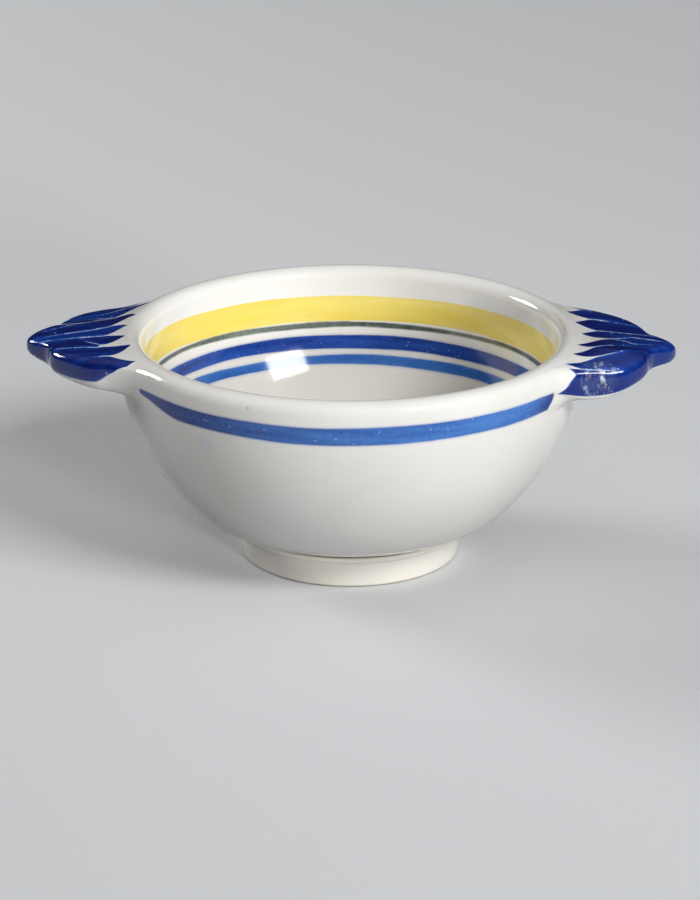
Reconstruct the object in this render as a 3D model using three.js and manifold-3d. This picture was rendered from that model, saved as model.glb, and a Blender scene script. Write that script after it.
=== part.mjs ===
// Lug bowl: a tin-glazed earthenware bowl with a rolled lip, a foot ring and two shell-shaped lugs.
// Millimetres, +Z up. The origin is on the table, under the middle of the foot ring.
// +X runs through the right lug, +Y towards the back of the bowl.

import * as THREE from 'three';
import { mergeVertices } from 'three/addons/utils/BufferGeometryUtils.js';
import Module from 'manifold-3d';

// Bowl
const RIM_RADIUS = 68.5;
const BOWL_HEIGHT = 69;
const LIP_THICKNESS = 7.4;
const OUTSIDE_DEPTH = 67.2; // middle of the lip down to where the outside curve would close
const SHOULDER_HEIGHT = 14.8; // table to where the outside curve turns in towards the foot
const FLOOR_HEIGHT = 8.8; // table to the lowest point of the inside

// Foot ring, and the boss under the floor that centres it
const FOOT_HEIGHT = 10.4;
const FOOT_RADIUS = 31.6; // outside, at the bottom
const FOOT_TAPER = 1.4; // the outside is wider by this at the top
const FOOT_WIDTH = 6; // ring width at the bottom
const FOOT_ROUNDING = 1.4; // rounded edges of the face that stands on the table
const RECESS_HEIGHT = 3.8; // table to the underside of the boss
const SLIP_BEAD = 1.4; // bead of slip in the corner over the foot ring

// Lugs, both from one mould
const LUG_THICKNESS = 6.8;
const LUG_EDGE_RADIUS = 2.7;
const LUG_DROP = 0.5; // crest of the lip down to the lug's top face at the rim
const LUG_SLOPE = THREE.MathUtils.degToRad(5); // the tip hangs lower than the root
const LUG_FILLET = 4; // coil of clay worked into the corner under a lug
const LUG_FILLET_SPAN = 38; // its length along the rim

// Lug outline in plan, as [beyond the rim, along the rim], from root corner to root corner
const LUG_OUTLINE = [
  [-11, 33.6],
  [-5, 29.8],
  [1, 26.6],
  [8.3, 23.2],
  [17.8, 13.9],
  [20.8, 5.4],
  [26.5, -1.8],
  [25.3, -8],
  [18.9, -14],
  [15.8, -21.8],
  [8.4, -27],
  [-0.6, -30.2],
  [-6.4, -33.2],
  [-12, -36.8],
];
const LUG_ROOT_DEPTH = 24; // how far the uncut lug reaches in past the rim

// Thickness of the slip between two pieces
const JOINT_GAP = 0.3;

// Facets
const TURN_SEGMENTS = 72;
const WALL_SEGMENTS = 13;
const LIP_SEGMENTS = 10;
const EDGE_SEGMENTS = 3;
const OUTLINE_SEGMENTS = 4;

// Sizes that follow from those above
const LIP_RADIUS = LIP_THICKNESS / 2;
const LIP_LEVEL = BOWL_HEIGHT - LIP_RADIUS;
const LIP_CIRCLE = RIM_RADIUS - LIP_RADIUS;
const INSIDE_RADIUS = RIM_RADIUS - LIP_THICKNESS;
const INSIDE_DEPTH = LIP_LEVEL - FLOOR_HEIGHT;
const FOOT_TOP_RADIUS = FOOT_RADIUS + FOOT_TAPER;
const FOOT_INSIDE = FOOT_RADIUS - FOOT_WIDTH;
const BOSS_RADIUS = FOOT_INSIDE - JOINT_GAP;
const CREASE_RADIUS = FOOT_TOP_RADIUS + SLIP_BEAD + JOINT_GAP;
const LUG_TOP = BOWL_HEIGHT - LUG_DROP;
const LUG_UNDERSIDE = LUG_TOP - LUG_THICKNESS;

const WHITE_GLAZE = { color: '#efebe2', roughness: 0.12, metalness: 0 };
const FOOT_GLAZE = { color: '#ece6d8', roughness: 0.3, metalness: 0 };
const COBALT_GLAZE = { color: '#152f8a', roughness: 0.12, metalness: 0 };

const wasm = await Module();
wasm.setup();

function point(r, z) {
  return new THREE.Vector2(r, z);
}

function arc(centre, radiusR, radiusZ, from, to, segments) {
  const curve = new THREE.EllipseCurve(centre.x, centre.y, radiusR, radiusZ, from, to, to < from);
  return curve.getPoints(segments);
}

// Shape turned about Z from points (radius, height) that run up the outside and down the inside
function turned(outline) {
  const geometry = new THREE.LatheGeometry(outline, TURN_SEGMENTS);
  geometry.rotateX(Math.PI / 2);
  return geometry;
}

function turnedRing(outline) {
  return turned([...outline, outline[0]]);
}

function toSolid(geometry) {
  const bare = geometry.clone();
  bare.deleteAttribute('normal');
  bare.deleteAttribute('uv');
  const merged = mergeVertices(bare, 1e-4);
  const mesh = new wasm.Mesh({
    numProp: 3,
    vertProperties: Float32Array.from(merged.attributes.position.array),
    triVerts: Uint32Array.from(merged.index.array),
  });
  return new wasm.Manifold(mesh);
}

function toGeometry(solid) {
  const mesh = solid.getMesh();
  const geometry = new THREE.BufferGeometry();
  geometry.setAttribute('position', new THREE.BufferAttribute(mesh.vertProperties, 3));
  geometry.setIndex(new THREE.BufferAttribute(mesh.triVerts, 1));
  return geometry;
}

function piece(name, geometry, finish) {
  const mesh = new THREE.Mesh(geometry, new THREE.MeshStandardMaterial(finish));
  mesh.name = name;
  return mesh;
}

// Angle on the outside curve at a height
function outsideAngle(height) {
  return Math.asin((height - LIP_LEVEL) / OUTSIDE_DEPTH);
}

function outsideRadius(height) {
  return RIM_RADIUS * Math.cos(outsideAngle(height));
}

// Outside of the wall from a height up to the lip, moved out by a clearance
function outsideCurve(height, clearance, segments) {
  const centre = point(clearance, LIP_LEVEL);
  return arc(centre, RIM_RADIUS, OUTSIDE_DEPTH, outsideAngle(height), 0, segments);
}

function bowlBody() {
  const lipCentre = point(LIP_CIRCLE, LIP_LEVEL);
  const inside = arc(point(0, LIP_LEVEL), INSIDE_RADIUS, INSIDE_DEPTH, 0, -Math.PI / 2, WALL_SEGMENTS);
  inside.at(-1).x = 0;
  return turned([
    point(0, RECESS_HEIGHT),
    point(BOSS_RADIUS, RECESS_HEIGHT),
    point(BOSS_RADIUS, FOOT_HEIGHT),
    point(CREASE_RADIUS, FOOT_HEIGHT),
    ...outsideCurve(SHOULDER_HEIGHT, 0, WALL_SEGMENTS),
    ...arc(lipCentre, LIP_RADIUS, LIP_RADIUS, 0, Math.PI, LIP_SEGMENTS).slice(1),
    ...inside.slice(1),
  ]);
}

function footRing() {
  const top = FOOT_HEIGHT - JOINT_GAP;
  const outerEdge = point(FOOT_RADIUS - FOOT_ROUNDING, FOOT_ROUNDING);
  const innerEdge = point(FOOT_INSIDE + FOOT_ROUNDING, FOOT_ROUNDING);
  return turnedRing([
    ...arc(innerEdge, FOOT_ROUNDING, FOOT_ROUNDING, -Math.PI, -Math.PI / 2, EDGE_SEGMENTS),
    ...arc(outerEdge, FOOT_ROUNDING, FOOT_ROUNDING, -Math.PI / 2, 0, EDGE_SEGMENTS),
    point(FOOT_TOP_RADIUS, top),
    point(FOOT_INSIDE, top),
  ]);
}

// Quarter-round bead in the corner between the bowl's underside and the foot ring
function footSlipBead() {
  const inside = FOOT_TOP_RADIUS + JOINT_GAP;
  const top = FOOT_HEIGHT - JOINT_GAP;
  return turnedRing([
    ...arc(point(inside, top), SLIP_BEAD, SLIP_BEAD, -Math.PI / 2, 0, EDGE_SEGMENTS),
    point(inside, top),
  ]);
}

// What a lug keeps clear of: the wall and the lip, with the joint's thickness, and all that is above its top
function lugSeat() {
  const bottom = BOWL_HEIGHT / 2;
  const above = BOWL_HEIGHT + LUG_THICKNESS;
  const core = RIM_RADIUS - 2 * LUG_ROOT_DEPTH;
  const lipCentre = point(LIP_CIRCLE, LIP_LEVEL);
  const lipClear = LIP_RADIUS + JOINT_GAP;
  const topAngle = Math.asin((LUG_TOP - LIP_LEVEL) / lipClear);
  return toSolid(turnedRing([
    point(core, bottom),
    ...outsideCurve(bottom, JOINT_GAP, WALL_SEGMENTS),
    ...arc(lipCentre, lipClear, lipClear, 0, topAngle, LIP_SEGMENTS).slice(1),
    point(RIM_RADIUS + LUG_ROOT_DEPTH, LUG_TOP),
    point(RIM_RADIUS + LUG_ROOT_DEPTH, above),
    point(core, above),
  ]));
}

// Shell-shaped plate with rounded edges, hollowed at its root to sit on the wall and the lip
function lug() {
  const outline = new THREE.Shape();
  const points = LUG_OUTLINE.map(([out, along]) => point(out, along));
  outline.moveTo(-LUG_ROOT_DEPTH, points[0].y);
  outline.lineTo(points[0].x, points[0].y);
  outline.splineThru(points.slice(1));
  outline.lineTo(-LUG_ROOT_DEPTH, points.at(-1).y);
  outline.closePath();
  const plate = new THREE.ExtrudeGeometry(outline, {
    depth: LUG_THICKNESS - 2 * LUG_EDGE_RADIUS,
    bevelThickness: LUG_EDGE_RADIUS,
    bevelSize: LUG_EDGE_RADIUS,
    bevelOffset: -LUG_EDGE_RADIUS,
    bevelSegments: EDGE_SEGMENTS,
    curveSegments: OUTLINE_SEGMENTS,
  });
  plate.translate(0, 0, LUG_EDGE_RADIUS - LUG_THICKNESS);
  plate.rotateY(LUG_SLOPE);
  plate.translate(RIM_RADIUS, 0, LUG_TOP);
  return toGeometry(toSolid(plate).subtract(lugSeat()));
}

// Coil of clay under a lug, with a hollow face from the lug's underside down to the wall
function lugFillet() {
  const top = LUG_UNDERSIDE - JOINT_GAP - LUG_FILLET * Math.tan(LUG_SLOPE);
  const foot = top - LUG_FILLET;
  const inside = outsideRadius(top) + JOINT_GAP;
  const hollow = point(inside, top - LUG_EDGE_RADIUS / 2);
  const bottom = point(outsideRadius(foot) + JOINT_GAP, foot);
  const face = new THREE.QuadraticBezierCurve(bottom, hollow, point(inside + LUG_FILLET, top));
  const ring = toSolid(turnedRing([...face.getPoints(2 * EDGE_SEGMENTS), point(inside, top)]));
  const block = new THREE.BoxGeometry(RIM_RADIUS, LUG_FILLET_SPAN, BOWL_HEIGHT);
  block.translate(RIM_RADIUS, 0, BOWL_HEIGHT / 2);
  return toGeometry(ring.intersect(toSolid(block)));
}

const lugBowl = new THREE.Group();
lugBowl.add(piece('bowl_body', bowlBody(), WHITE_GLAZE));
lugBowl.add(piece('foot_ring', footRing(), FOOT_GLAZE));
lugBowl.add(piece('foot_slip_bead', footSlipBead(), FOOT_GLAZE));

for (const [side, turn] of [['right', 0], ['left', Math.PI]]) {
  const pair = new THREE.Group();
  pair.rotation.z = turn;
  pair.add(piece(`lug_${side}`, lug(), COBALT_GLAZE));
  pair.add(piece(`lug_fillet_${side}`, lugFillet(), WHITE_GLAZE));
  lugBowl.add(pair);
}

export default lugBowl;
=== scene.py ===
"""Lug bowl of tin-glazed earthenware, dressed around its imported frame.

Metres, with +Z up, +X through the right lug and +Y to the back.
"""

import math

import bpy
import numpy as np
from bpy.props import FloatProperty, FloatVectorProperty, PointerProperty
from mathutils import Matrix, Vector


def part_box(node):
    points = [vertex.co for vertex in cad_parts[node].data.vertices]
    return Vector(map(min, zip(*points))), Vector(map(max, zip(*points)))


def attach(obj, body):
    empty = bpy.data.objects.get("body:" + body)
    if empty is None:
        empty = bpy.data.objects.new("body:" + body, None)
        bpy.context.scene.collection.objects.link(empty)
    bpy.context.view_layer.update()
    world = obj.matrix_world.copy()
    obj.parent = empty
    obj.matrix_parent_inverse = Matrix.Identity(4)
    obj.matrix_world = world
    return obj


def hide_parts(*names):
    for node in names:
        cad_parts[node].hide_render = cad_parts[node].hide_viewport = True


bl_info = {
    "name": "Lug Bowl",
    "version": (1, 0, 0),
    "blender": (4, 5, 0),
    "location": "3D View > Sidebar > Lug Bowl",
    "description": "Models a painted, tin-glazed lug bowl with a foot ring and two shell-shaped lugs",
    "category": "Add Mesh",
}

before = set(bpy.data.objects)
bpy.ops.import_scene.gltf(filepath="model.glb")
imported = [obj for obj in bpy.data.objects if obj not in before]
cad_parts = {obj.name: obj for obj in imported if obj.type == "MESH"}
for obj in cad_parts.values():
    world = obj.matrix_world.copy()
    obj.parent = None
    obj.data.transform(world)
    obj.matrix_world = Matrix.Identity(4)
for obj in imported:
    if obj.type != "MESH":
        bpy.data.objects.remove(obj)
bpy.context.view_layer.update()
BODY_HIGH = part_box("bowl_body")[1]
FOOT_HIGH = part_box("foot_ring")[1]

MM = 0.001
JOINT_GAP = 0.3 * MM  # slip between two pieces
FOOT_SPREAD = 0.7 * MM  # how far the glazed ring stands out past the solid one

# Mesh density
TURN_STEPS = 400
LUG_COLUMNS = 220
LUG_ROWS = 170
MERGE_DISTANCE = 1e-6
SEAM_MERGE = 2e-5  # for a lug's skin and back, which meet along their borders

# Outline of the right lug in plan, in millimetres: [beyond the rim, along the rim]
LUG_OUTLINE = [
    [-11, 33.6],
    [-5, 29.8],
    [1, 26.6],
    [8.3, 23.2],
    [17.8, 13.9],
    [20.8, 5.4],
    [26.9, -1.8],
    [26.0, -8],
    [19.6, -14.2],
    [17.0, -22.4],
    [10.4, -29],
    [0.4, -31.6],
    [-6.0, -33.8],
    [-12, -36.8],
]

# Brush strokes on a lug, from one side to the other, as seen along the lug from the middle of the bowl.
# Each has its pointed inner end, the line that parts it from the next stroke, which starts between the two
# inner ends and runs outwards, and the radius where the bare sliver along that line ends, or 0 for none.
# Points are [radius in millimetres, degrees from the lug's axis].
LEFT_STROKES = [
    {"tip": [69.6, -26.7], "line": [[67, -25.0], [71.9, -22.1], [78.2, -15.7], [86.3, -13.7]], "sliver": 79},
    {"tip": [65.9, -23.4], "line": [[67, -18.2], [72.4, -13.1], [81.7, -11.9], [90, -9.5]], "sliver": 82},
    {"tip": [72.4, -12.9], "line": [[67, -17.6], [72.4, -12.7], [80.9, -8.4], [90.3, -4.4]], "sliver": 91},
    {"tip": [65.5, -12.4], "line": [[67, -7.8], [72.2, -4.8], [77.3, -2.9], [90.9, -0.4]], "sliver": 91},
    {"tip": [66.0, -3.6], "line": [[67, 1.0], [73, 2.0], [79.1, 1.9], [90, 1.8]], "sliver": 90},
    {"tip": [66.0, 5.0], "line": [[67, 9.3], [73.7, 8.7], [77.1, 5.7], [80, 2.6], [90, 2.2]], "sliver": 79},
    {"tip": [73.9, 9.0], "line": [[67, 9.7], [75.1, 10.3], [78.7, 8.9], [86.4, 7.4]], "sliver": 86},
    {"tip": [65.0, 13.0], "line": [[67, 19.0], [73.7, 16.8], [81, 15.2], [88, 13]], "sliver": 77},
    {"tip": [67.6, 24.2], "line": [[67, 25.4], [70, 26.4], [80, 31]], "sliver": 0},
]
RIGHT_STROKES = [
    {"tip": [66.0, -29.0], "line": [[67, -27.6], [74, -24.6], [77.5, -22.7], [86, -19.5]], "sliver": 81},
    {"tip": [68.4, -25.6], "line": [[67, -22.5], [76, -17.5], [82.7, -12.7], [90, -11]], "sliver": 83},
    {"tip": [67.8, -18.5], "line": [[67, -15.0], [74.6, -12.1], [80.6, -9.1], [88, -8]], "sliver": 82},
    {"tip": [67.5, -11.4], "line": [[67, -6.8], [77.4, -4.6], [81.4, -5.9], [83.1, -7.2], [89, -6.2]],
     "sliver": 89},
    {"tip": [77.5, -4.5], "line": [[67, -6.4], [77.4, -4.3], [82.9, -1.6], [94.5, -2.7]], "sliver": 94},
    {"tip": [68.1, -2.1], "line": [[67, 2.4], [74.1, 1.9], [82, 1.3], [91.1, 0.9]], "sliver": 91},
    {"tip": [67.2, 6.8], "line": [[67, 11.4], [73.6, 10.1], [83.8, 7.2], [90, 6]], "sliver": 84},
    {"tip": [67.4, 15.9], "line": [[67, 18.6], [73.6, 17.6], [80, 14.5], [88, 11]], "sliver": 76},
    {"tip": [70.8, 21.3], "line": [[67, 24], [72, 27], [80, 36]], "sliver": 0},
]


def length(name, description, millimetres):
    """A size that a user would change."""
    return FloatProperty(
        name=name,
        description=description,
        default=millimetres * MM,
        precision=4,
        subtype="DISTANCE",
        unit="LENGTH",
    )


def linear(code):
    """Linear RGBA of an sRGB hex colour."""
    channels = [int(code[place:place + 2], 16) / 255 for place in (1, 3, 5)]
    low = [c / 12.92 if c <= 0.04045 else ((c + 0.055) / 1.055) ** 2.4 for c in channels]
    return (*low, 1.0)


def colour(name, description, code):
    """A colour that a user would change, given as sRGB hex."""
    return FloatVectorProperty(
        name=name,
        description=description,
        default=linear(code),
        size=4,
        min=0.0,
        max=1.0,
        subtype="COLOR",
    )


class BowlSizes(bpy.types.PropertyGroup):
    """Sizes of the thrown bowl."""

    rim_radius: length("Rim radius", "Outside of the rim", BODY_HIGH.y / MM)
    height: length("Height", "Table to the crest of the lip", BODY_HIGH.z / MM)
    lip_thickness: length("Lip thickness", "Thickness of the rolled lip", 7.4)
    outside_depth: length("Outside depth", "Middle of the lip to where the outside curve would close", 67.2)
    shoulder_height: length("Shoulder height", "Where the outside curve turns in to the foot", 17.5)
    floor_height: length("Floor height", "Table to the lowest point of the inside", 8.8)


class FootSizes(bpy.types.PropertyGroup):
    """Sizes of the foot ring and of the bead of slip over it."""

    height: length("Height", "Table to the corner under the bowl", (FOOT_HIGH.z + JOINT_GAP) / MM)
    radius: length("Radius", "Outside of the ring, at the bottom", 32.4)
    top_radius: length("Top radius", "Outside of the ring, at the top", (FOOT_HIGH.x + FOOT_SPREAD) / MM)
    width: length("Width", "Width of the ring at the bottom", 6.0)
    rounding: length("Rounding", "Rounded edges of the face that stands on the table", 1.0)
    recess: length("Recess", "Table to the underside within the ring", 3.8)
    bead: length("Bead", "Radius of the bead of slip in the corner over the ring", 1.0)
    groove: length("Groove", "Depth of the soft groove under the bead", 0.3)


class LugSizes(bpy.types.PropertyGroup):
    """Sizes of the two lugs, which come from one mould."""

    drop: length("Drop", "Crest of the lip down to the lug's top at the rim", 1.2)
    dome: length("Dome", "Fall of the domed top towards the edge", 0.5)
    thickness: length("Thickness", "Thickness at the rim", 12.0)
    edge: length("Edge", "How far in the rounding of the edge reaches", 2.8)
    fillet: length("Fillet", "Clay worked into the corner under the lug", 2.4)
    root_blend: length("Root blend", "Plan rounding where the lug leaves the rim", 2.6)
    seat: length("Seat", "Depth of the seat that the lug is pressed into", 1.0)
    top_slope: FloatProperty(
        name="Top slope",
        description="Fall of the top from the rim to the tip",
        default=math.radians(3.2),
        subtype="ANGLE",
    )
    under_slope: FloatProperty(
        name="Underside slope",
        description="Fall of the underside from the rim to the tip, below zero for a rise",
        default=math.radians(-9),
        subtype="ANGLE",
    )


class BandSizes(bpy.types.PropertyGroup):
    """Painted bands, as depths below the crest of the lip."""

    yellow_top: length("Yellow top", "Upper edge of the broad yellow band", 8.7)
    yellow_bottom: length("Yellow bottom", "Lower edge of the broad yellow band", 16.5)
    line_top: length("Line top", "Upper edge of the thin dark line", 16.9)
    line_bottom: length("Line bottom", "Lower edge of the thin dark line", 18.4)
    navy_top: length("Navy top", "Upper edge of the navy band", 20.9)
    navy_bottom: length("Navy bottom", "Lower edge of the navy band", 24.7)
    blue_top: length("Blue top", "Upper edge of the mid-blue band", 26.6)
    blue_bottom: length("Blue bottom", "Lower edge of the mid-blue band", 29.3)
    outside_top: length("Outside top", "Upper edge of the band on the outside", 6.8)
    outside_bottom: length("Outside bottom", "Lower edge of the band on the outside", 11.9)


class GlazeColours(bpy.types.PropertyGroup):
    """Colours of the glaze and of the painting on it, thin and thick."""

    white: colour("White", "Warm white tin glaze", "#f2f1ed")
    white_shade: colour("White shade", "Tin glaze where it lies thinner over the clay", "#eceae3")
    foot: colour("Foot", "Creamy thin glaze on the foot ring", "#f6f1e5")
    clay: colour("Clay", "Bare fired clay where the foot is worn", "#c9a983")
    stain: colour("Stain", "Tan wear line on the lip", "#c3a27a")
    yellow_thin: colour("Yellow, thin", "Antimony yellow, washed out", "#fae787")
    yellow_thick: colour("Yellow, thick", "Antimony yellow, laid on", "#f3d757")
    line_thin: colour("Line, thin", "Grey-green line, washed out", "#8b968d")
    line_thick: colour("Line, thick", "Grey-green line, laid on", "#3d4a47")
    navy_thin: colour("Navy, thin", "Cobalt, washed out", "#315cb8")
    navy_thick: colour("Navy, thick", "Cobalt, laid on", "#172f80")
    blue_thin: colour("Blue, thin", "Light cobalt, washed out", "#4a82d0")
    blue_thick: colour("Blue, thick", "Light cobalt, laid on", "#265bb4")
    # Blue, deep: deeper cobalt at the band's ends, and partly painted shade at the band's start on the shaded
    # left-front
    blue_deep: colour("Blue, deep", "Light cobalt where the brush sets down or lifts off", "#00368c")
    green_thin: colour("Green, thin", "Copper and ochre olive, washed out", "#9a9a46")
    green_thick: colour("Green, thick", "Copper and ochre olive, laid on", "#4d5a22")
    red_thin: colour("Red, thin", "Iron orange-red, washed out", "#ea8a4a")
    red_thick: colour("Red, thick", "Iron orange-red, laid on", "#cf4f24")
    dark_thin: colour("Dark, thin", "Manganese black, washed out", "#3c3b36")
    dark_thick: colour("Dark, thick", "Manganese black, laid on", "#191a1c")
    lug_thin: colour("Lug cobalt, thin", "Cobalt on the lugs, washed out", "#1553c0")
    lug_thick: colour("Lug cobalt, thick", "Cobalt on the lugs, laid on", "#0d1d68")
    lug_wash: colour("Lug wash", "Milky blue where two strokes leave a gap", "#93bdf0")
    lug_gap: colour("Lug gap", "Bluish white in the widest gaps", "#eaf2fb")
    blister_pale: colour("Blister, pale", "Broken bubbles in the glaze", "#cfdaee")
    blister_grey: colour("Blister, grey", "Clay showing through broken bubbles", "#857f78")
    smudge: colour("Smudge", "Thin blue left by a finger", "#d9e4ea")
    # Crease: painted shade, a dark line in the crease over the foot ring
    crease: colour("Crease", "Dust in the crease over the foot ring", "#7c776d")
    floor: colour("Floor", "Plain pale floor", "#e2e4e6")
    floor_bounce: colour("Floor bounce", "Dimmer light that the floor throws back on the bowl", "#8a8b8d")


# Outlines and surfaces

# Points along each stretch of the bowl's outline
BOWL_POINTS = {"recess": 4, "under": 12, "lower": 24, "upper": 14, "lip": 31, "inside": 61, "well": 91}
WELL_START = -42  # where the inside wall turns into the well, in degrees
TURN_IN = math.radians(18)  # slope of the outside where it meets the foot
CREASE_INSET = 0.2 * MM  # the crease lies this far in from the ring's top
SEAT_STEP = 1 * MM  # step under the bowl that the foot ring covers
# Points along the rounded edges, the wall and the fillet of the foot ring, and round the bead
EDGE_POINTS = 9
WALL_POINTS = 24
FILLET_POINTS = 7
BEAD_POINTS = 25
FOOT_FLARE = 1.3  # 1 is a straight cone, more flares out towards the top
GROOVE_PLACE = 0.82  # share of the ring's height
GROOVE_HALF = 0.07  # half its width, as the same share
RECESS_FILLET = 1.5 * MM
BEAD_WAVER = 0.03 * MM


def lip_radius(bowl):
    """Radius of the rolled lip's section."""
    return bowl.lip_thickness / 2


def lip_level(bowl):
    """Height of the middle of the lip's section."""
    return bowl.height - lip_radius(bowl)


def arc_points(centre, radii, start, end, count):
    """Points (radius, height) along an elliptic arc, angles in degrees."""
    angles = np.radians(np.linspace(start, end, count))
    return np.stack([centre[0] + radii[0] * np.cos(angles), centre[1] + radii[1] * np.sin(angles)], axis=1)


def hermite(start, start_tangent, end, end_tangent, share):
    """Smooth curve between two points (radius, height) with given tangents."""
    s = share[:, None]
    return (
        (2 * s**3 - 3 * s**2 + 1) * start
        + (s**3 - 2 * s**2 + s) * start_tangent
        + (3 * s**2 - 2 * s**3) * end
        + (s**3 - s**2) * end_tangent
    )


def smooth_step(low, high, value):
    """0 below low, 1 above high and a smooth rise between."""
    share = np.clip((value - low) / (high - low), 0, 1)
    return share * share * (3 - 2 * share)


def bowl_outline(bowl, foot):
    """Points (radius, height) up the outside of the bowl, over the lip and down the inside to the axis."""
    level = lip_level(bowl)
    section = lip_radius(bowl)
    outside = (bowl.rim_radius, bowl.outside_depth)
    inside = (bowl.rim_radius - bowl.lip_thickness, level - bowl.floor_height)
    seat_radius = foot.radius - foot.width / 2
    crease = np.array([foot.top_radius - CREASE_INSET, foot.height])
    shoulder_angle = math.asin((bowl.shoulder_height - level) / bowl.outside_depth)
    seam_angle = math.asin((SEAM_HEIGHT - level) / bowl.outside_depth)
    shoulder = np.array([bowl.rim_radius * math.cos(shoulder_angle), bowl.shoulder_height])
    rise = np.array([-outside[0] * math.sin(shoulder_angle), outside[1] * math.cos(shoulder_angle)])
    reach = np.linalg.norm(shoulder - crease)
    crease_way = reach * np.array([math.cos(TURN_IN), math.sin(TURN_IN)])
    shoulder_way = reach * rise / np.linalg.norm(rise)
    under = hermite(crease, crease_way, shoulder, shoulder_way, np.linspace(0, 1, BOWL_POINTS["under"]))
    recess_radii = np.linspace(0, seat_radius, BOWL_POINTS["recess"])
    recess = np.stack([recess_radii, np.full_like(recess_radii, foot.recess)], axis=1)
    seat = np.array([[seat_radius, foot.height - SEAT_STEP], [crease[0] - 2 * SEAT_STEP, foot.height]])
    stretches = [
        ["lower", (0, level), outside, math.degrees(shoulder_angle), math.degrees(seam_angle)],
        ["upper", (0, level), outside, math.degrees(seam_angle), 0],
        ["lip", (bowl.rim_radius - section, level), (section, section), 0, 180],
        ["inside", (0, level), inside, 0, WELL_START],
        ["well", (0, level), inside, WELL_START, -90],
    ]
    *walls, well = [arc_points(*settings, BOWL_POINTS[name]) for name, *settings in stretches]
    well[-1, 0] = 0
    return np.concatenate([recess, seat, under[:-1], *[wall[:-1] for wall in walls], well])


def foot_outline(foot):
    """Closed outline of the foot ring: flared outside with a soft groove, and a fillet to the recess."""
    inner = foot.radius - foot.width
    top = foot.height - JOINT_GAP
    r = foot.rounding
    outer_edge = arc_points((foot.radius - r, r), (r, r), -90, 0, EDGE_POINTS)
    inner_edge = arc_points((inner + r, r), (r, r), -180, -90, EDGE_POINTS)
    share = np.linspace(0, 1, WALL_POINTS)[1:]
    groove = foot.groove * np.exp(-((share - GROOVE_PLACE) / GROOVE_HALF) ** 2)
    wall_radii = foot.radius + (foot.top_radius - foot.radius) * share**FOOT_FLARE - groove
    wall = np.stack([wall_radii, r + (top - r) * share], axis=1)
    middle = (inner - RECESS_FILLET, foot.recess - RECESS_FILLET)
    fillet = arc_points(middle, (RECESS_FILLET, RECESS_FILLET), 90, 0, FILLET_POINTS)
    roof = np.array([[inner - RECESS_FILLET, top]])
    return np.concatenate([inner_edge, outer_edge[1:], wall, roof, fillet])


def bead_outline(foot):
    """Closed outline of the round bead of slip between the foot ring and the bowl."""
    centre = (foot.top_radius + JOINT_GAP, foot.height - foot.bead - JOINT_GAP)
    return arc_points(centre, (foot.bead, foot.bead), -180, 180, BEAD_POINTS)[:-1]


# Lug surface

CREST_ANGLE = math.radians(78)  # where on the lip's section the lug's skin starts
SEAM_HEIGHT = 50 * MM  # where it ends on the wall
TURN_STEP = 2 * math.pi / TURN_STEPS
LUG_START = -44 * TURN_STEP
LUG_END = 39 * TURN_STEP
LUG_RISE = 5 * MM  # growth over which the lip's section turns into the lug's
END_FADE = math.radians(7)  # angle over which both ends of the skin run out
ROOT_REACH = 4 * MM  # past the rim, where the root has turned into the top
ROOT_SHARE = 0.6  # the most of a short reach that the root takes
EDGE_SQUARENESS = 0.75  # 1 is a round edge, less is a squarer one
EDGE_LIMITS = (0.3, 2)  # least and most depth where lobes and notches are softened, as shares of the edge
QUARTER_PULL = 1.657  # tangent that turns a cubic curve into a quarter circle
SMALL = 0.1 * MM  # step that no eye sees
CURVE_STEPS = 12  # steps between two points of the outline
# Softening of the outline for the crest of the edge: [degrees aside, weight]
SOFTENING = [[-4.4, 0.12], [-2.2, 0.22], [0, 0.32], [2.2, 0.22], [4.4, 0.12]]
# Shares of the rows: root, top, edge, underside, fillet and wall
ROW_ZONES = [0, 0.09, 0.40, 0.62, 0.84, 0.94, 1]
# The same zones on the plain lip, as distances down from the skin's start
PLAIN_ZONES = [0, 1.3 * MM, 3.4 * MM, 8.0 * MM, 11.5 * MM, 16.0 * MM]
# Shallow valleys in the top, in line with the notches of the outline: [degrees, depth, half the width]
LUG_VALLEYS = [
    [3.3, 0.2 * MM, 2.4 * MM],
    [-9.2, 0.35 * MM, 2.4 * MM],
]
VALLEY_REACH = (0.25, 1.0)  # shares of the reach between which a valley deepens
VALLEY_TURN = (-75, 45)  # degrees round the edge between which it comes in
# Lean of the lobes, which differs as the soft clay set: [degrees from the lug's axis, millimetres up]
LUG_LEAN = {
    "left": [[-20, -0.8], [-13, -0.6], [-8, 0.2], [-4, 0], [3, 0.1], [12, 0.4]],
    "right": [[-22, -0.4], [-18, 0.9], [-13.5, 1.8], [-8, 1.2], [-3, 0.4], [3, 0], [12, 0.5]],
}
LEAN_REACH = (-2 * MM, 8 * MM)  # past the rim, between which the lean comes in
SEAT_ROOM = 1.2  # times as deep in the bowl as on the back of a lug
SEAT_CELLS = 3  # cells of the grid over which that back slopes down from its border
SMOOTH_ROUNDS = 4  # of smoothing on a lug's skin


def outside_point(bowl, along):
    """Points (radius, height) on the lip and the wall, by distance down from where a lug's skin starts."""
    level = lip_level(bowl)
    section = lip_radius(bowl)
    lip_length = section * CREST_ANGLE
    lip_angle = CREST_ANGLE - along / section
    wall_angle = -(along - lip_length) / bowl.outside_depth
    on_lip = along < lip_length
    lip_centre = bowl.rim_radius - section
    radius = np.where(on_lip, lip_centre + section * np.cos(lip_angle), bowl.rim_radius * np.cos(wall_angle))
    height = level + np.where(on_lip, section * np.sin(lip_angle), bowl.outside_depth * np.sin(wall_angle))
    return np.stack([radius, height], axis=1)


def wall_distance(bowl, height):
    """Distance down from where a lug's skin starts to a height on the wall."""
    drop = np.arcsin((lip_level(bowl) - height) / bowl.outside_depth)
    return lip_radius(bowl) * CREST_ANGLE + bowl.outside_depth * drop


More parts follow.
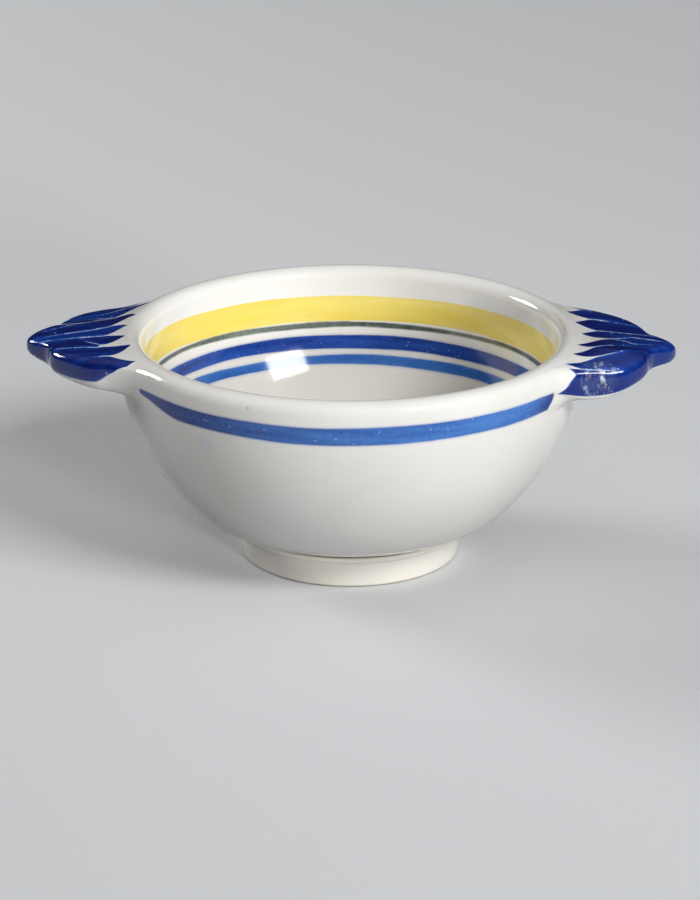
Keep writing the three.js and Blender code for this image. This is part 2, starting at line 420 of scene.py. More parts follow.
def outline_radius(bowl, angle):
    """Radius of a lug's outline at angles from its axis."""
    points = np.array(LUG_OUTLINE) * MM
    before = np.concatenate([2 * points[:1] - points[1:2], points[:-1]])
    after = np.concatenate([points[1:], 2 * points[-1:] - points[-2:-1]])
    tangents = (after - before) / 2
    share = np.linspace(0, 1, CURVE_STEPS + 1)[:-1]
    stretches = zip(points[:-1], tangents[:-1], points[1:], tangents[1:])
    curve = np.concatenate([hermite(*stretch, share) for stretch in stretches])
    x = bowl.rim_radius + curve[:, 0]
    y = curve[:, 1]
    angles = np.arctan2(y, x)
    radii = np.hypot(x, y)
    order = np.argsort(angles)
    return np.interp(angle, angles[order], radii[order])


def lug_reach(bowl, lug, angle):
    """How far a lug reaches past the rim at angles from its axis, rounded where it leaves the rim."""
    plain = outline_radius(bowl, angle) - bowl.rim_radius
    rounded = (plain + np.sqrt(plain**2 + lug.root_blend**2)) / 2
    start = smooth_step(LUG_START, LUG_START + END_FADE, angle)
    end = smooth_step(LUG_END, LUG_END - END_FADE, angle)
    return rounded * start * end


def zone_share(rows, zone):
    """Share of the way through one zone of a lug's rows."""
    return np.clip((rows - ROW_ZONES[zone]) / (ROW_ZONES[zone + 1] - ROW_ZONES[zone]), 0, 1)


def edge_angle(rows):
    """Angle round the edge of a lug, in degrees: 90 on the top and -90 on the underside."""
    return 90 - 180 * zone_share(rows, 2)


def soft_reach(bowl, lug, angle):
    """The reach with lobes and notches softened, which the crest of the rounded edge follows."""
    total = np.zeros_like(angle)
    for step, weight in SOFTENING:
        total += weight * lug_reach(bowl, lug, angle + math.radians(step))
    return total


def lug_section(bowl, lug, angle, rows):
    """Points (radius, height) of a lug's skin, from the crest of the lip round the lug to the wall."""
    rim = bowl.rim_radius
    reach = lug_reach(bowl, lug, angle)
    share = 1 - np.exp(-reach / LUG_RISE)
    full_reach = np.where(share > 1e-6, reach / np.maximum(share, 1e-6), LUG_RISE)
    top_fall = math.tan(lug.top_slope)
    under_fall = math.tan(lug.under_slope)
    top_level = bowl.height - lug.drop

    def pair(radius, height):
        return np.stack(np.broadcast_arrays(radius, height), axis=1).astype(float)

    softened = soft_reach(bowl, lug, angle) - reach
    edge_depth = np.clip(lug.edge - softened, *(limit * lug.edge for limit in EDGE_LIMITS))
    edge_radius = rim + full_reach - edge_depth
    span = np.maximum(edge_radius - rim, MM)

    def top(radius):
        return top_level - (radius - rim) * top_fall - lug.dome * np.clip((radius - rim) / span, 0, 1) ** 2

    def under(radius):
        return top_level - lug.thickness - (radius - rim) * under_fall

    start = outside_point(bowl, np.zeros_like(reach))
    root_radius = np.minimum(rim + ROOT_REACH, start[:, 0] + ROOT_SHARE * (edge_radius - start[:, 0]))
    root = pair(root_radius, top(root_radius))
    root_span = np.linalg.norm(root - start, axis=1)[:, None]
    start_way = np.array([math.sin(CREST_ANGLE), -math.cos(CREST_ANGLE)])
    root_way = np.array([math.cos(lug.top_slope), -math.sin(lug.top_slope)])
    zone_root = hermite(start, root_span * start_way, root, root_span * root_way, zone_share(rows, 0))

    top_radius = root_radius + (edge_radius - root_radius) * zone_share(rows, 1)
    zone_top = pair(top_radius, top(top_radius))

    turn = np.radians(edge_angle(rows))
    middle = (top(edge_radius) + under(edge_radius)) / 2
    half = (top(edge_radius) - under(edge_radius)) / 2
    edge_fall = top_fall + 2 * lug.dome / span
    fall = edge_fall + (under_fall - edge_fall) * (1 - np.sin(turn)) / 2
    outward = edge_depth * np.cos(turn) ** EDGE_SQUARENESS
    rise = np.sign(turn) * np.abs(np.sin(turn)) ** EDGE_SQUARENESS
    zone_edge = pair(edge_radius + outward, middle + half * rise - fall * outward)

    fillet = lug.fillet * (1 - np.exp(-np.maximum(edge_radius - rim, SMALL) / lug.fillet))
    corner_radius = rim + fillet
    under_radius = edge_radius + (corner_radius - edge_radius) * zone_share(rows, 3)
    zone_under = pair(under_radius, under(under_radius))

    corner = pair(corner_radius, under(corner_radius))
    wall_start = wall_distance(bowl, under(corner_radius) - fillet)
    wall = outside_point(bowl, wall_start)
    wall_way = outside_point(bowl, wall_start + SMALL) - wall
    wall_way = wall_way / np.linalg.norm(wall_way, axis=1)[:, None]
    corner_way = pair(-np.ones_like(reach), np.full_like(reach, under_fall))
    pull = QUARTER_PULL * fillet[:, None]
    zone_fillet = hermite(corner, pull * corner_way, wall, pull * wall_way, zone_share(rows, 4))

    seam = wall_distance(bowl, SEAM_HEIGHT)
    zone_wall = outside_point(bowl, wall_start + (seam - wall_start) * zone_share(rows, 5))

    plain = outside_point(bowl, np.interp(rows, ROW_ZONES, [*PLAIN_ZONES, seam]))
    zones = [zone_root, zone_top, zone_edge, zone_under, zone_fillet, zone_wall]
    place = np.clip(np.searchsorted(ROW_ZONES, rows, side="right") - 1, 0, len(zones) - 1)
    grown = np.stack(zones)[place, np.arange(len(rows))]
    return plain + share[:, None] * (grown - plain)


def valley_depth(bowl, lug, angle, radius, rows):
    """How far the valleys lower the lug's top."""
    reach = lug_reach(bowl, lug, angle)
    outer = smooth_step(*VALLEY_REACH, (radius - bowl.rim_radius) / np.maximum(reach, MM))
    top = smooth_step(*VALLEY_TURN, edge_angle(rows)) * smooth_step(ROW_ZONES[0], ROW_ZONES[1], rows)
    depth = np.zeros_like(angle)
    for degrees, deep, half_width in LUG_VALLEYS:
        offset = (angle - math.radians(degrees)) * radius
        depth += deep * np.exp(-((offset / half_width) ** 2))
    return depth * outer * top


def lug_lean(bowl, radius, angle, side):
    """How far the lobes of a lug stand up or hang down, as the soft clay set."""
    places, heights = np.transpose(LUG_LEAN[side])
    lean = np.interp(np.degrees(angle), places, heights) * MM
    return lean * smooth_step(*LEAN_REACH, radius - bowl.rim_radius)


def way_out(section, columns, rows):
    """Way along each section from the axis, out over the top and on round the edge."""
    order = np.lexsort((rows, columns))
    lines = section[order].reshape(LUG_COLUMNS + 1, LUG_ROWS + 1, 2)
    steps = np.linalg.norm(np.diff(lines, axis=1), axis=2)
    ways = np.concatenate([lines[:, :1, 0], steps], axis=1).cumsum(axis=1)
    way = np.empty(len(section))
    way[order] = ways.ravel()
    return way


# Meshes


def polar(points):
    """Radius and turn of points about Z."""
    return np.hypot(points[:, 0], points[:, 1]), np.arctan2(points[:, 1], points[:, 0])


def select_only(piece, chosen):
    """Selects some vertices of a piece by a mask, in object mode."""
    mesh = piece.data
    for things in (mesh.edges, mesh.polygons):
        things.foreach_set("select", np.zeros(len(things), dtype=bool))
    mesh.vertices.foreach_set("select", chosen)
    bpy.context.tool_settings.mesh_select_mode = (True, False, False)


def positions(piece):
    """Vertex positions of a piece as an array."""
    flat = np.empty(len(piece.data.vertices) * 3)
    piece.data.vertices.foreach_get("co", flat)
    return flat.reshape(-1, 3)


def vertex_normals(piece):
    """Smooth vertex normals of a piece as an array."""
    flat = np.empty(len(piece.data.vertices) * 3)
    piece.data.vertex_normals.foreach_get("vector", flat)
    return flat.reshape(-1, 3)


def store(piece, name, values):
    """Keeps one number for each vertex as an attribute that the materials read."""
    attribute = piece.data.attributes.get(name)
    if attribute is None:
        attribute = piece.data.attributes.new(name, "FLOAT", "POINT")
    attribute.data.foreach_set("value", values.astype(np.float32))


def recall(piece, name):
    """Reads an attribute back as an array."""
    values = np.empty(len(piece.data.vertices), dtype=np.float32)
    piece.data.attributes[name].data.foreach_get("value", values)
    return values


def take_new(name):
    """Names the object that an operator has just added."""
    piece = bpy.context.object
    piece.name = name
    piece.data.name = name
    return piece


def close_skin(threshold):
    """Joins the vertices of the active piece that meet, drops loose ones and turns its faces outwards."""
    bpy.ops.object.mode_set(mode="EDIT")
    bpy.ops.mesh.select_all(action="SELECT")
    bpy.ops.mesh.remove_doubles(threshold=threshold)
    bpy.ops.mesh.delete_loose(use_verts=True, use_edges=True, use_faces=False)
    bpy.ops.mesh.select_all(action="SELECT")
    bpy.ops.mesh.normals_make_consistent(inside=False)
    bpy.ops.object.mode_set(mode="OBJECT")
    bpy.ops.object.shade_smooth()


def spin_outline(name, outline):
    """Draws a ring of vertices out to an outline (radius, height) and turns it about Z, as on a wheel."""
    bpy.ops.object.select_all(action="DESELECT")
    bpy.ops.mesh.primitive_circle_add(vertices=len(outline), radius=MM)
    piece = take_new(name)
    points = np.stack([outline[:, 0], np.zeros(len(outline)), outline[:, 1]], axis=1)
    piece.data.vertices.foreach_set("co", points.ravel())
    bpy.ops.object.modifier_add(type="SCREW")
    turning = piece.modifiers[-1]
    turning.steps = TURN_STEPS
    turning.render_steps = TURN_STEPS
    bpy.ops.object.modifier_apply(modifier=turning.name)
    close_skin(MERGE_DISTANCE)
    return piece


def waver_ring(piece, amount):
    """Gives a ring the slight waver of work by hand."""
    points = positions(piece)
    radius, turn = polar(points)
    points[:, 2] += waver(turn, 0.8, amount)
    points[:, :2] *= (1 + waver(turn, 2.2, amount) / radius)[:, None]
    piece.data.vertices.foreach_set("co", points.ravel())
    piece.data.update()


def side_turn(side):
    """Turn of a lug about Z."""
    return 0 if side == "right" else math.pi


def lug_angles(points, side):
    """Angles of points from a lug's axis."""
    across = polar(points)[1] - side_turn(side)
    return (across + math.pi) % (2 * math.pi) - math.pi


def on_inside(bowl, points):
    """True for points on the inner side of the wall's middle and of the lip's crest."""
    radius = polar(points)[0]
    drop = np.clip(lip_level(bowl) - points[:, 2], 0, None)
    depth = bowl.outside_depth - lip_radius(bowl)
    middle = (bowl.rim_radius - lip_radius(bowl)) * np.sqrt(np.clip(1 - (drop / depth) ** 2, 0, 1))
    return radius < middle


def press_seats(piece, bowl, lug):
    """Presses a shallow seat for each lug into the lip and the wall."""
    points = positions(piece)
    radius = polar(points)[0]
    height = points[:, 2]
    lip_angle = np.arctan2(height - lip_level(bowl), radius - bowl.rim_radius + lip_radius(bowl))
    margin = TURN_STEP / 10
    outside = ~on_inside(bowl, points) & (height > SEAM_HEIGHT + SMALL)
    outside &= (height < lip_level(bowl)) | (lip_angle < CREST_ANGLE - margin)
    chosen = np.zeros(len(points), dtype=bool)
    for side in ("left", "right"):
        angle = lug_angles(points, side)
        chosen |= outside & (angle > LUG_START + margin) & (angle < LUG_END - margin)
    smooth = vertex_normals(piece)
    select_only(piece, chosen)
    bpy.ops.object.mode_set(mode="EDIT")
    bpy.ops.transform.shrink_fatten(value=-SEAT_ROOM * lug.seat)
    bpy.ops.object.mode_set(mode="OBJECT")
    piece.data.normals_split_custom_set_from_vertices(smooth)


def lug_grid(name):
    """Flat grid for a lug's skin or back, with its columns and rows as shares."""
    bpy.ops.object.select_all(action="DESELECT")
    bpy.ops.mesh.primitive_grid_add(x_subdivisions=LUG_COLUMNS, y_subdivisions=LUG_ROWS, size=1)
    piece = take_new(name)
    flat = positions(piece) + 0.5
    return piece, flat[:, 0], flat[:, 1]


def lay_out(piece, section, angle, side):
    """Moves a grid's vertices to their sections (radius, height) at angles from a lug's axis."""
    turn = angle + side_turn(side)
    points = np.stack([section[:, 0] * np.cos(turn), section[:, 0] * np.sin(turn), section[:, 1]], axis=1)
    piece.data.vertices.foreach_set("co", points.ravel())
    piece.data.update()


def model_lug(bowl, lug, side):
    """Models one lug: its skin from lip to wall, and the hidden back that sits in the bowl's seat."""
    skin, columns, rows = lug_grid(f"shell_lug_{side}")
    angle = LUG_START + columns * (LUG_END - LUG_START)
    section = lug_section(bowl, lug, angle, rows)
    section[:, 1] -= valley_depth(bowl, lug, angle, section[:, 0], rows)
    section[:, 1] += lug_lean(bowl, section[:, 0], angle, side)
    lay_out(skin, section, angle, side)
    cells = np.minimum(np.minimum(columns, 1 - columns) * LUG_COLUMNS, np.minimum(rows, 1 - rows) * LUG_ROWS)
    border = cells < 0.5
    select_only(skin, ~border)
    bpy.ops.object.mode_set(mode="EDIT")
    bpy.ops.mesh.vertices_smooth(factor=0.5, repeat=SMOOTH_ROUNDS)
    bpy.ops.object.mode_set(mode="OBJECT")

    back = lug_grid("lug_back")[0]
    plain = outside_point(bowl, rows * wall_distance(bowl, SEAM_HEIGHT))
    inward = np.array([bowl.rim_radius - lip_radius(bowl), lip_level(bowl)]) - plain
    inward[:, 1] = np.minimum(inward[:, 1], 0)
    inward /= np.linalg.norm(inward, axis=1)[:, None]
    depth = lug.seat * np.clip(cells / SEAT_CELLS, 0, 1)
    lay_out(back, plain + depth[:, None] * inward, angle, side)

    kept = {"seam": border, "row": rows, "way": way_out(section, columns, rows) / MM}
    bpy.ops.object.select_all(action="DESELECT")
    for piece in (back, skin):
        piece.select_set(True)
        for name, values in kept.items():
            store(piece, name, values)
    bpy.context.view_layer.objects.active = skin
    bpy.ops.object.join()
    close_skin(SEAM_MERGE)
    smooth_seam(skin, bowl)
    return skin


def smooth_seam(piece, bowl):
    """Gives a lug's border the bowl's own normals, so that glaze runs over the joint without a line."""
    points = positions(piece)
    normals = vertex_normals(piece)
    seam = recall(piece, "seam") > 0.5
    radius = polar(points)[0]
    up = points[:, 2] - lip_level(bowl)
    on_lip = up > 0
    out = np.where(on_lip, radius - bowl.rim_radius + lip_radius(bowl), radius / bowl.rim_radius**2)
    rise = np.where(on_lip, up, up / bowl.outside_depth**2)
    plain = np.stack([points[:, 0] / radius * out, points[:, 1] / radius * out, rise], axis=1)
    plain /= np.linalg.norm(plain, axis=1)[:, None]
    normals[seam] = plain[seam]
    piece.data.normals_split_custom_set_from_vertices(normals)


# Painting, as signed distances in millimetres: above zero is painted

FAR = 4  # distances are kept no longer than this
BRUSH_WAVER = 0.25 * MM
# Waver of a hand: waves round the bowl, their share of its amount and their shift with its seed
WAVES = [[3, 0.6, 1.0], [7, 0.3, 2.1], [12, 0.2, 3.7]]
LEFT_LIFT = 1.3 * MM
RIGHT_LIFT = 0.9 * MM
BAND_SEEDS = {"yellow": 0.4, "line": 1.7, "navy": 2.9, "blue": 4.2, "outside": 5.1}


def store_distance(piece, name, distance, painted=True):
    """Stores a distance, kept short, where a piece may be painted."""
    store(piece, name, np.where(painted, np.clip(distance, -FAR, FAR), -FAR))


def waver(turn, seed, amount):
    """Slow waver of a hand-held brush round the bowl."""
    return amount * sum(share * np.sin(waves * turn + shift * seed) for waves, share, shift in WAVES)


def band(depth, top, bottom, turn, seed):
    """A band between two depths below the rim."""
    upper = depth - top + waver(turn, seed, BRUSH_WAVER)
    lower = bottom - depth + waver(turn, seed + 1.3, BRUSH_WAVER)
    return np.minimum(upper, lower) / MM


def band_lift(turn):
    """How far the bands inside ride up beside the lugs, as the brush follows the rim there."""
    along = np.cos(turn)
    return np.where(along < 0, LEFT_LIFT, RIGHT_LIFT) * np.abs(along) ** 3


LEAF_BEND = 0.06  # share of a leaf's length
STEM_STEPS = 60
# Half of a stem at its start, and what it loses by its end, as shares of the stem's width
STEM_HALF = 0.5
STEM_THINNING = 0.22
PETAL_SWAY = 0.1  # in radians
PETAL_VARIETY = 0.07  # share of a petal's reach


def leaf(x, y, base, tip, width):
    """A pointed leaf or petal from base to tip: its distance and the share along the brush stroke."""
    dx = tip[0] - base[0]
    dy = tip[1] - base[1]
    span = math.hypot(dx, dy)
    along = ((x - base[0]) * dx + (y - base[1]) * dy) / span - span / 2
    across = ((x - base[0]) * dy - (y - base[1]) * dx) / span
    across = across + LEAF_BEND * span * np.sin(math.pi * along / span + base[0])
    offset = (span * span / 4 - width * width / 4) / width
    curve = offset + width / 2
    distance = np.minimum(curve - np.hypot(along, across - offset), curve - np.hypot(along, across + offset))
    return distance, np.clip(along / span + 0.5, 0, 1)


def dot(x, y, centre, radius):
    """A round dab of the brush, heavier on its lower side."""
    distance = radius - np.hypot(x - centre[0], y - centre[1])
    return distance, np.clip(0.5 + 0.5 * (y - centre[1]) / radius, 0, 1)


def stem(x, y, start, bend, end, width):
    """A curved line from start to end, drawn towards the bend, thinner at its end."""
    best = np.full_like(x, -1e3)
    done = np.zeros_like(x)
    for share in np.linspace(0, 1, STEM_STEPS):
        px = (1 - share) ** 2 * start[0] + 2 * share * (1 - share) * bend[0] + share**2 * end[0]
        py = (1 - share) ** 2 * start[1] + 2 * share * (1 - share) * bend[1] + share**2 * end[1]
        distance = width * (STEM_HALF - STEM_THINNING * share) - np.hypot(x - px, y - py)
        done = np.where(distance > best, share, done)
        best = np.maximum(best, distance)
    return best, done


def most(*shapes):
    """Union of painted shapes, each a distance and the share along its brush stroke."""
    best, done = shapes[0]
    for distance, share in shapes[1:]:
        done = np.where(distance > best, share, done)
        best = np.maximum(best, distance)
    return best, done


def bloom(x, y, centre, inner, outer, width, count, turn):
    """Petals round a centre, each one stroke that sets down at its outer end."""
    petals = []
    for number in range(count):
        angle = math.radians(turn) + 2 * math.pi * number / count + PETAL_SWAY * math.sin(5 * number)
        reach = outer * (1 + PETAL_VARIETY * math.sin(3 * number + turn))
        way = (math.cos(angle), math.sin(angle))
        base = (centre[0] + inner * way[0], centre[1] + inner * way[1])
        tip = (centre[0] + reach * way[0], centre[1] + reach * way[1])
        petals.append(leaf(x, y, tip, base, width))
    return most(*petals)


# Flower spray in the well, in millimetres from the middle
SPRAY_MIDDLE = (0, -7)
SPRAY_STEMS = [
    [(1, -33), (-3, -16), (0, 2), 1.9],
    [(0, -24), (-12, -16), (-19, -1), 1.6],
    [(1, -24), (12, -18), (19, -3), 1.6],
    [(-1, -10), (-9, 6), (-10.5, 26), 1.7],
    [(0, -10), (8, 8), (12.5, 26), 1.7],
    [(0, 2), (1, 14), (0, 31), 1.7],
]
SPRAY_LEAVES = [
    [(0, -26), (-16, -32), 5.4],
    [(1, -27), (17, -33), 5.4],
    [(-4, -21), (-20, -24), 4.8],
    [(5, -22), (21, -25), 4.8],
    [(-9, -17), (-24, -17), 4.8],
    [(9, -18), (25, -18), 4.8],
    [(-14, -11), (-29, -9), 4.4],
    [(15, -13), (30, -12), 4.4],
    [(-8, -14), (-11, -2), 4.0],
    [(8, -15), (11, -4), 4.0],
    [(-6, 4), (-17, 12), 4.4],
    [(6, 4), (18, 10), 4.4],
    [(-9, 13), (-20, 19), 3.8],
    [(10, 13), (22, 17), 3.8],
    [(1, 15), (8, 22), 3.4],
    [(0, 16), (-6, 24), 3.4],
]
VEIN_LENGTH = 0.7  # as a share of its leaf
VEIN_WIDTH = 1.0
LEFT_BLOOM = (-20, 1)
MIDDLE_BLOOM = (0, 4)
RIGHT_BLOOM = (20, -1)
# Petals by colour: middle, inner and outer reach, width, number and turn in degrees
SPRAY_PETALS = [
    ["spray_navy", MIDDLE_BLOOM, 2.6, 12, 6.0, 9, 10],
    ["red", LEFT_BLOOM, 1.4, 8.8, 5.4, 7, 30],
    ["red", RIGHT_BLOOM, 1.8, 5.8, 1.5, 8, 12],
    ["spray_yellow", RIGHT_BLOOM, 1.6, 8.8, 5.6, 8, 12],
    ["dark", LEFT_BLOOM, 1.6, 6.0, 1.3, 7, 30],
    ["dark", MIDDLE_BLOOM, 3.4, 8.5, 1.1, 9, 10],
]
# Buds by colour: tip, base and width
SPRAY_BUDS = [
    ["spray_navy", (0, 38), (0, 29), 4.8],
    ["red", (14, 32), (12, 23), 5.0],
    ["spray_yellow", (-12, 33), (-10, 24), 5.0],
]
# Dabs by colour: radius and middles
SPRAY_DABS = [
    ["red", 1.8, MIDDLE_BLOOM],
    ["red", 2.1, RIGHT_BLOOM],
    ["spray_yellow", 2.3, LEFT_BLOOM],
    ["spray_yellow", 3.6, MIDDLE_BLOOM],
    ["spray_navy", 1.2, (-26, 8), (-22, 26), (-33, -4), (-10, -39), (0, 39)],
    ["red", 1.1, (27, 6), (24, 25), (33, -6), (12, -39)],
]
# Seeds round the middle bloom, one radian apart
SEED_COUNT = 6
SEED_RING = 2.5
SEED_RADIUS = 0.6
# Paint in the brush where a stroke of the spray sets down, and how much of it is spent by its end
FIRST_LOAD = 0.3
SPENT_LOAD = 0.7


def paint_well(x, y):
    """A spray of flowers for the well: distance and share along the brush stroke, by colour."""
    x = x - SPRAY_MIDDLE[0]
    y = y - SPRAY_MIDDLE[1]
    shapes = {name: [] for name in ("green", "stems", "spray_navy", "red", "spray_yellow", "dark")}
    for line in SPRAY_STEMS:
        shapes["stems"].append(stem(x, y, *line))
    for base, tip, width in SPRAY_LEAVES:
        shapes["green"].append(leaf(x, y, base, tip, width))
        vein_end = VEIN_LENGTH * np.array(tip) + (1 - VEIN_LENGTH) * np.array(base)
        shapes["stems"].append(stem(x, y, base, base, vein_end, VEIN_WIDTH))
    for name, *petals in SPRAY_PETALS:
        shapes[name].append(bloom(x, y, *petals))
    for name, *bud in SPRAY_BUDS:
        shapes[name].append(leaf(x, y, *bud))
    for name, radius, *middles in SPRAY_DABS:
        shapes[name] += [dot(x, y, middle, radius) for middle in middles]
    for turn in range(SEED_COUNT):
        seed = (MIDDLE_BLOOM[0] + SEED_RING * math.cos(turn), MIDDLE_BLOOM[1] + SEED_RING * math.sin(turn))
        shapes["dark"].append(dot(x, y, seed, SEED_RADIUS))
    return {name: most(*parts) for name, parts in shapes.items()}


# Worn line on the lip: how far in from the crest, the depth it keeps above, half its width in millimetres
# and its ends in degrees about Z
WEAR_INSET = 1.5 * MM
WEAR_DEPTH = 1.5 * MM
WEAR_HALF = 0.3
WEAR_ENDS = (-4, 15)
WEAR_FADE = 0.1  # the ends run out this gently


def paint_inside(piece, bowl, bands):
    """Stores the bands, the well's flowers and the worn line on the lip, on the inside of the bowl."""
    points = positions(piece)
    radius, turn = polar(points)
    inside = on_inside(bowl, points)
    depth = bowl.height - points[:, 2]
    layers = {}
    for name in ("yellow", "line", "navy", "blue"):
        limits = [getattr(bands, f"{name}_{edge}") for edge in ("top", "bottom")]
        layers[name] = band(depth + band_lift(turn), *limits, turn, BAND_SEEDS[name])
    for name, (distance, share) in paint_well(points[:, 0] / MM, points[:, 1] / MM).items():
        layers[name] = distance
        store(piece, f"{name}_load", FIRST_LOAD - SPENT_LOAD * share)
    worn_radius = bowl.rim_radius - lip_radius(bowl) - WEAR_INSET
    aside = np.abs(radius - worn_radius) / MM
    first, last = np.radians(WEAR_ENDS)
    worn_ends = WEAR_FADE * np.minimum(turn - first, last - turn) * worn_radius / MM
    layers["wear"] = np.where(depth < WEAR_DEPTH, np.minimum(WEAR_HALF - aside, worn_ends), -FAR)
    for name, distance in layers.items():
        store_distance(piece, name, distance, inside)


# The band's two ends in front, in degrees about Z from +X. The band at the back lies half a turn away.
BAND_START = 209
BAND_END = 327.5
BAND_NARROW = 0.4  # share of its width where the brush sets down
BAND_OPENING = 20 * MM  # way over which it opens out
START_ROUNDING = 1.1  # in millimetres
# What the far end's corners lose, in millimetres, and how far up or down that reaches
LOW_CORNER = 2.2
LOW_CORNER_REACH = 2.2 * MM
TOP_CORNER = 0.9
TOP_CORNER_REACH = 0.8 * MM
# Extra paint where the brush sets down and lifts off, how far it reaches, and what is spent along the way
# The set-down is partly painted shade: deeper and longer at the band's start on the shaded left-front
SET_DOWN_AND_SHADE = 1.1
SET_DOWN_AND_SHADE_REACH = 22 * MM
LIFT_OFF = 1.0
LIFT_OFF_REACH = 4 * MM
BAND_SPENT = 0.25
EVEN_SHARE = 0.4  # share of the way where the brush has neither more nor less than its load
CHARGE_MARGIN = 2  # the load is kept up to this many millimetres past the band's edge
# Smudge of thin blue that a finger left under the band: degrees about Z, depth below the crest, radius in
# millimetres and squeeze along the rim and down
SMUDGE_TURN = 232.5
SMUDGE_DEPTH = 17 * MM
SMUDGE_RADIUS = 1.6
SMUDGE_SHAPE = (0.9, 0.8)


def paint_outside(piece, bowl, bands):
    """Stores the band between the lugs on the outside of a piece, deeper at its ends, and the smudge."""
    points = positions(piece)
    radius, turn = polar(points)
    turn = np.degrees(turn) % 360
    depth = bowl.height - points[:, 2]
    outside = ~on_inside(bowl, points)
    top = bands.outside_top
    distance = np.full(len(points), float(-FAR))
    charge = np.zeros(len(points))
    for half_turn in (0, 180):
        from_start = np.radians((turn - half_turn - BAND_START + 180) % 360 - 180) * radius
        from_end = np.radians((BAND_END - turn + half_turn + 180) % 360 - 180) * radius
        opened = BAND_NARROW + (1 - BAND_NARROW) * smooth_step(0, BAND_OPENING, from_start)
        bottom = top + (bands.outside_bottom - top) * opened
        shape = band(depth, top, bottom, np.radians(turn), BAND_SEEDS["outside"] + half_turn)
        offset = 2 * (depth - top) / (bottom - top) - 1
        round_start = from_start / MM - START_ROUNDING * offset**2
        low_corner = LOW_CORNER * np.exp(-((depth - bottom) / LOW_CORNER_REACH) ** 2)
        top_corner = TOP_CORNER * np.exp(-((depth - top) / TOP_CORNER_REACH) ** 2)
        round_end = from_end / MM - low_corner - top_corner
        shape = np.minimum(shape, np.minimum(round_start, round_end))
        distance = np.maximum(distance, shape)
        share = np.clip(from_start / np.maximum(from_start + from_end, MM), 0, 1)
        # Deeper paint where the brush sets down, made deep and long partly as painted shade on the band's
        # shaded start
        set_down_and_shade = SET_DOWN_AND_SHADE * np.exp(-np.abs(from_start) / SET_DOWN_AND_SHADE_REACH)
        lift_off = LIFT_OFF * np.exp(-np.abs(round_end) * MM / LIFT_OFF_REACH)
        load = set_down_and_shade + lift_off + BAND_SPENT * (EVEN_SHARE - share)
        charge = np.where(shape > -CHARGE_MARGIN, load, charge)
    store_distance(piece, "outside_band", distance, outside)
    store(piece, "band_charge", charge)
    along = SMUDGE_SHAPE[0] * np.radians(turn - SMUDGE_TURN) * radius / MM
    down = SMUDGE_SHAPE[1] * (depth - SMUDGE_DEPTH) / MM
    store_distance(piece, "smudge", SMUDGE_RADIUS - np.hypot(along, down), outside)


# Patch of glaze on the right lug's front that blistered in the kiln
BLISTER = (71.4 * MM, -30.0 * MM, 63.6 * MM)
BLISTER_RADIUS = 5  # in millimetres
# Line that bounds the first stroke: where all lines start, then [radius in millimetres, degrees]
LINE_START = 67
OUTER_LINE = [[70, -31], [80, -36]]
LEAST_GAP = 0.05  # degrees between two lines that meet
TIP_LIMITS = (0.2, 0.8)  # shares of a stroke's width between which its inner end may lie
SLIVER_HALF = 0.34  # half the width of a bare sliver, in millimetres
# Lighter cobalt round the edge, where the glaze runs thinner and partly painted light where the rounded edge
# faces the lamps, and thinner cobalt at the left lug's outer tip: amount, degrees round the edge, and the
# tip's place and half-width in degrees from the lug's axis
THIN_AND_LIT_EDGE = 0.08
THIN_AND_LIT_EDGE_TURN = (60, 10)
THIN_TIP = {"left": 0.9, "right": 0.0}
THIN_TIP_TURN = (30, -10)
TIP_PLACE = -5
TIP_HALF = 2.5
CALM_TURN = (70, 10)  # degrees round the edge between which the strokes lie more evenly
# Where the paint ends on the rounded edge: [degrees from the lug's axis, degrees round the edge]
PAINT_END = {
    "left": [[-27, 60], [-20, -42], [6, -42], [14, -28], [19, -18], [22, 20], [24.8, 100]],
    "right": [[-34, -80], [-31, -76], [-22, -38], [16, -42], [22, 70]],
}
# Front end of the right lug's first stroke: [degrees round the edge, degrees from the lug's axis]
FRONT_END = [[-80, -31.6], [-40, -30.2], [55, -27.0]]
EDGE_DEGREE = 0.06  # millimetres in one degree round the edge
FRONT_DEGREE = 1.2  # millimetres in one degree along the rim


def along_line(line, value):
    """Second number of a line's points at values of their first."""
    return np.interp(value, *np.transpose(line))


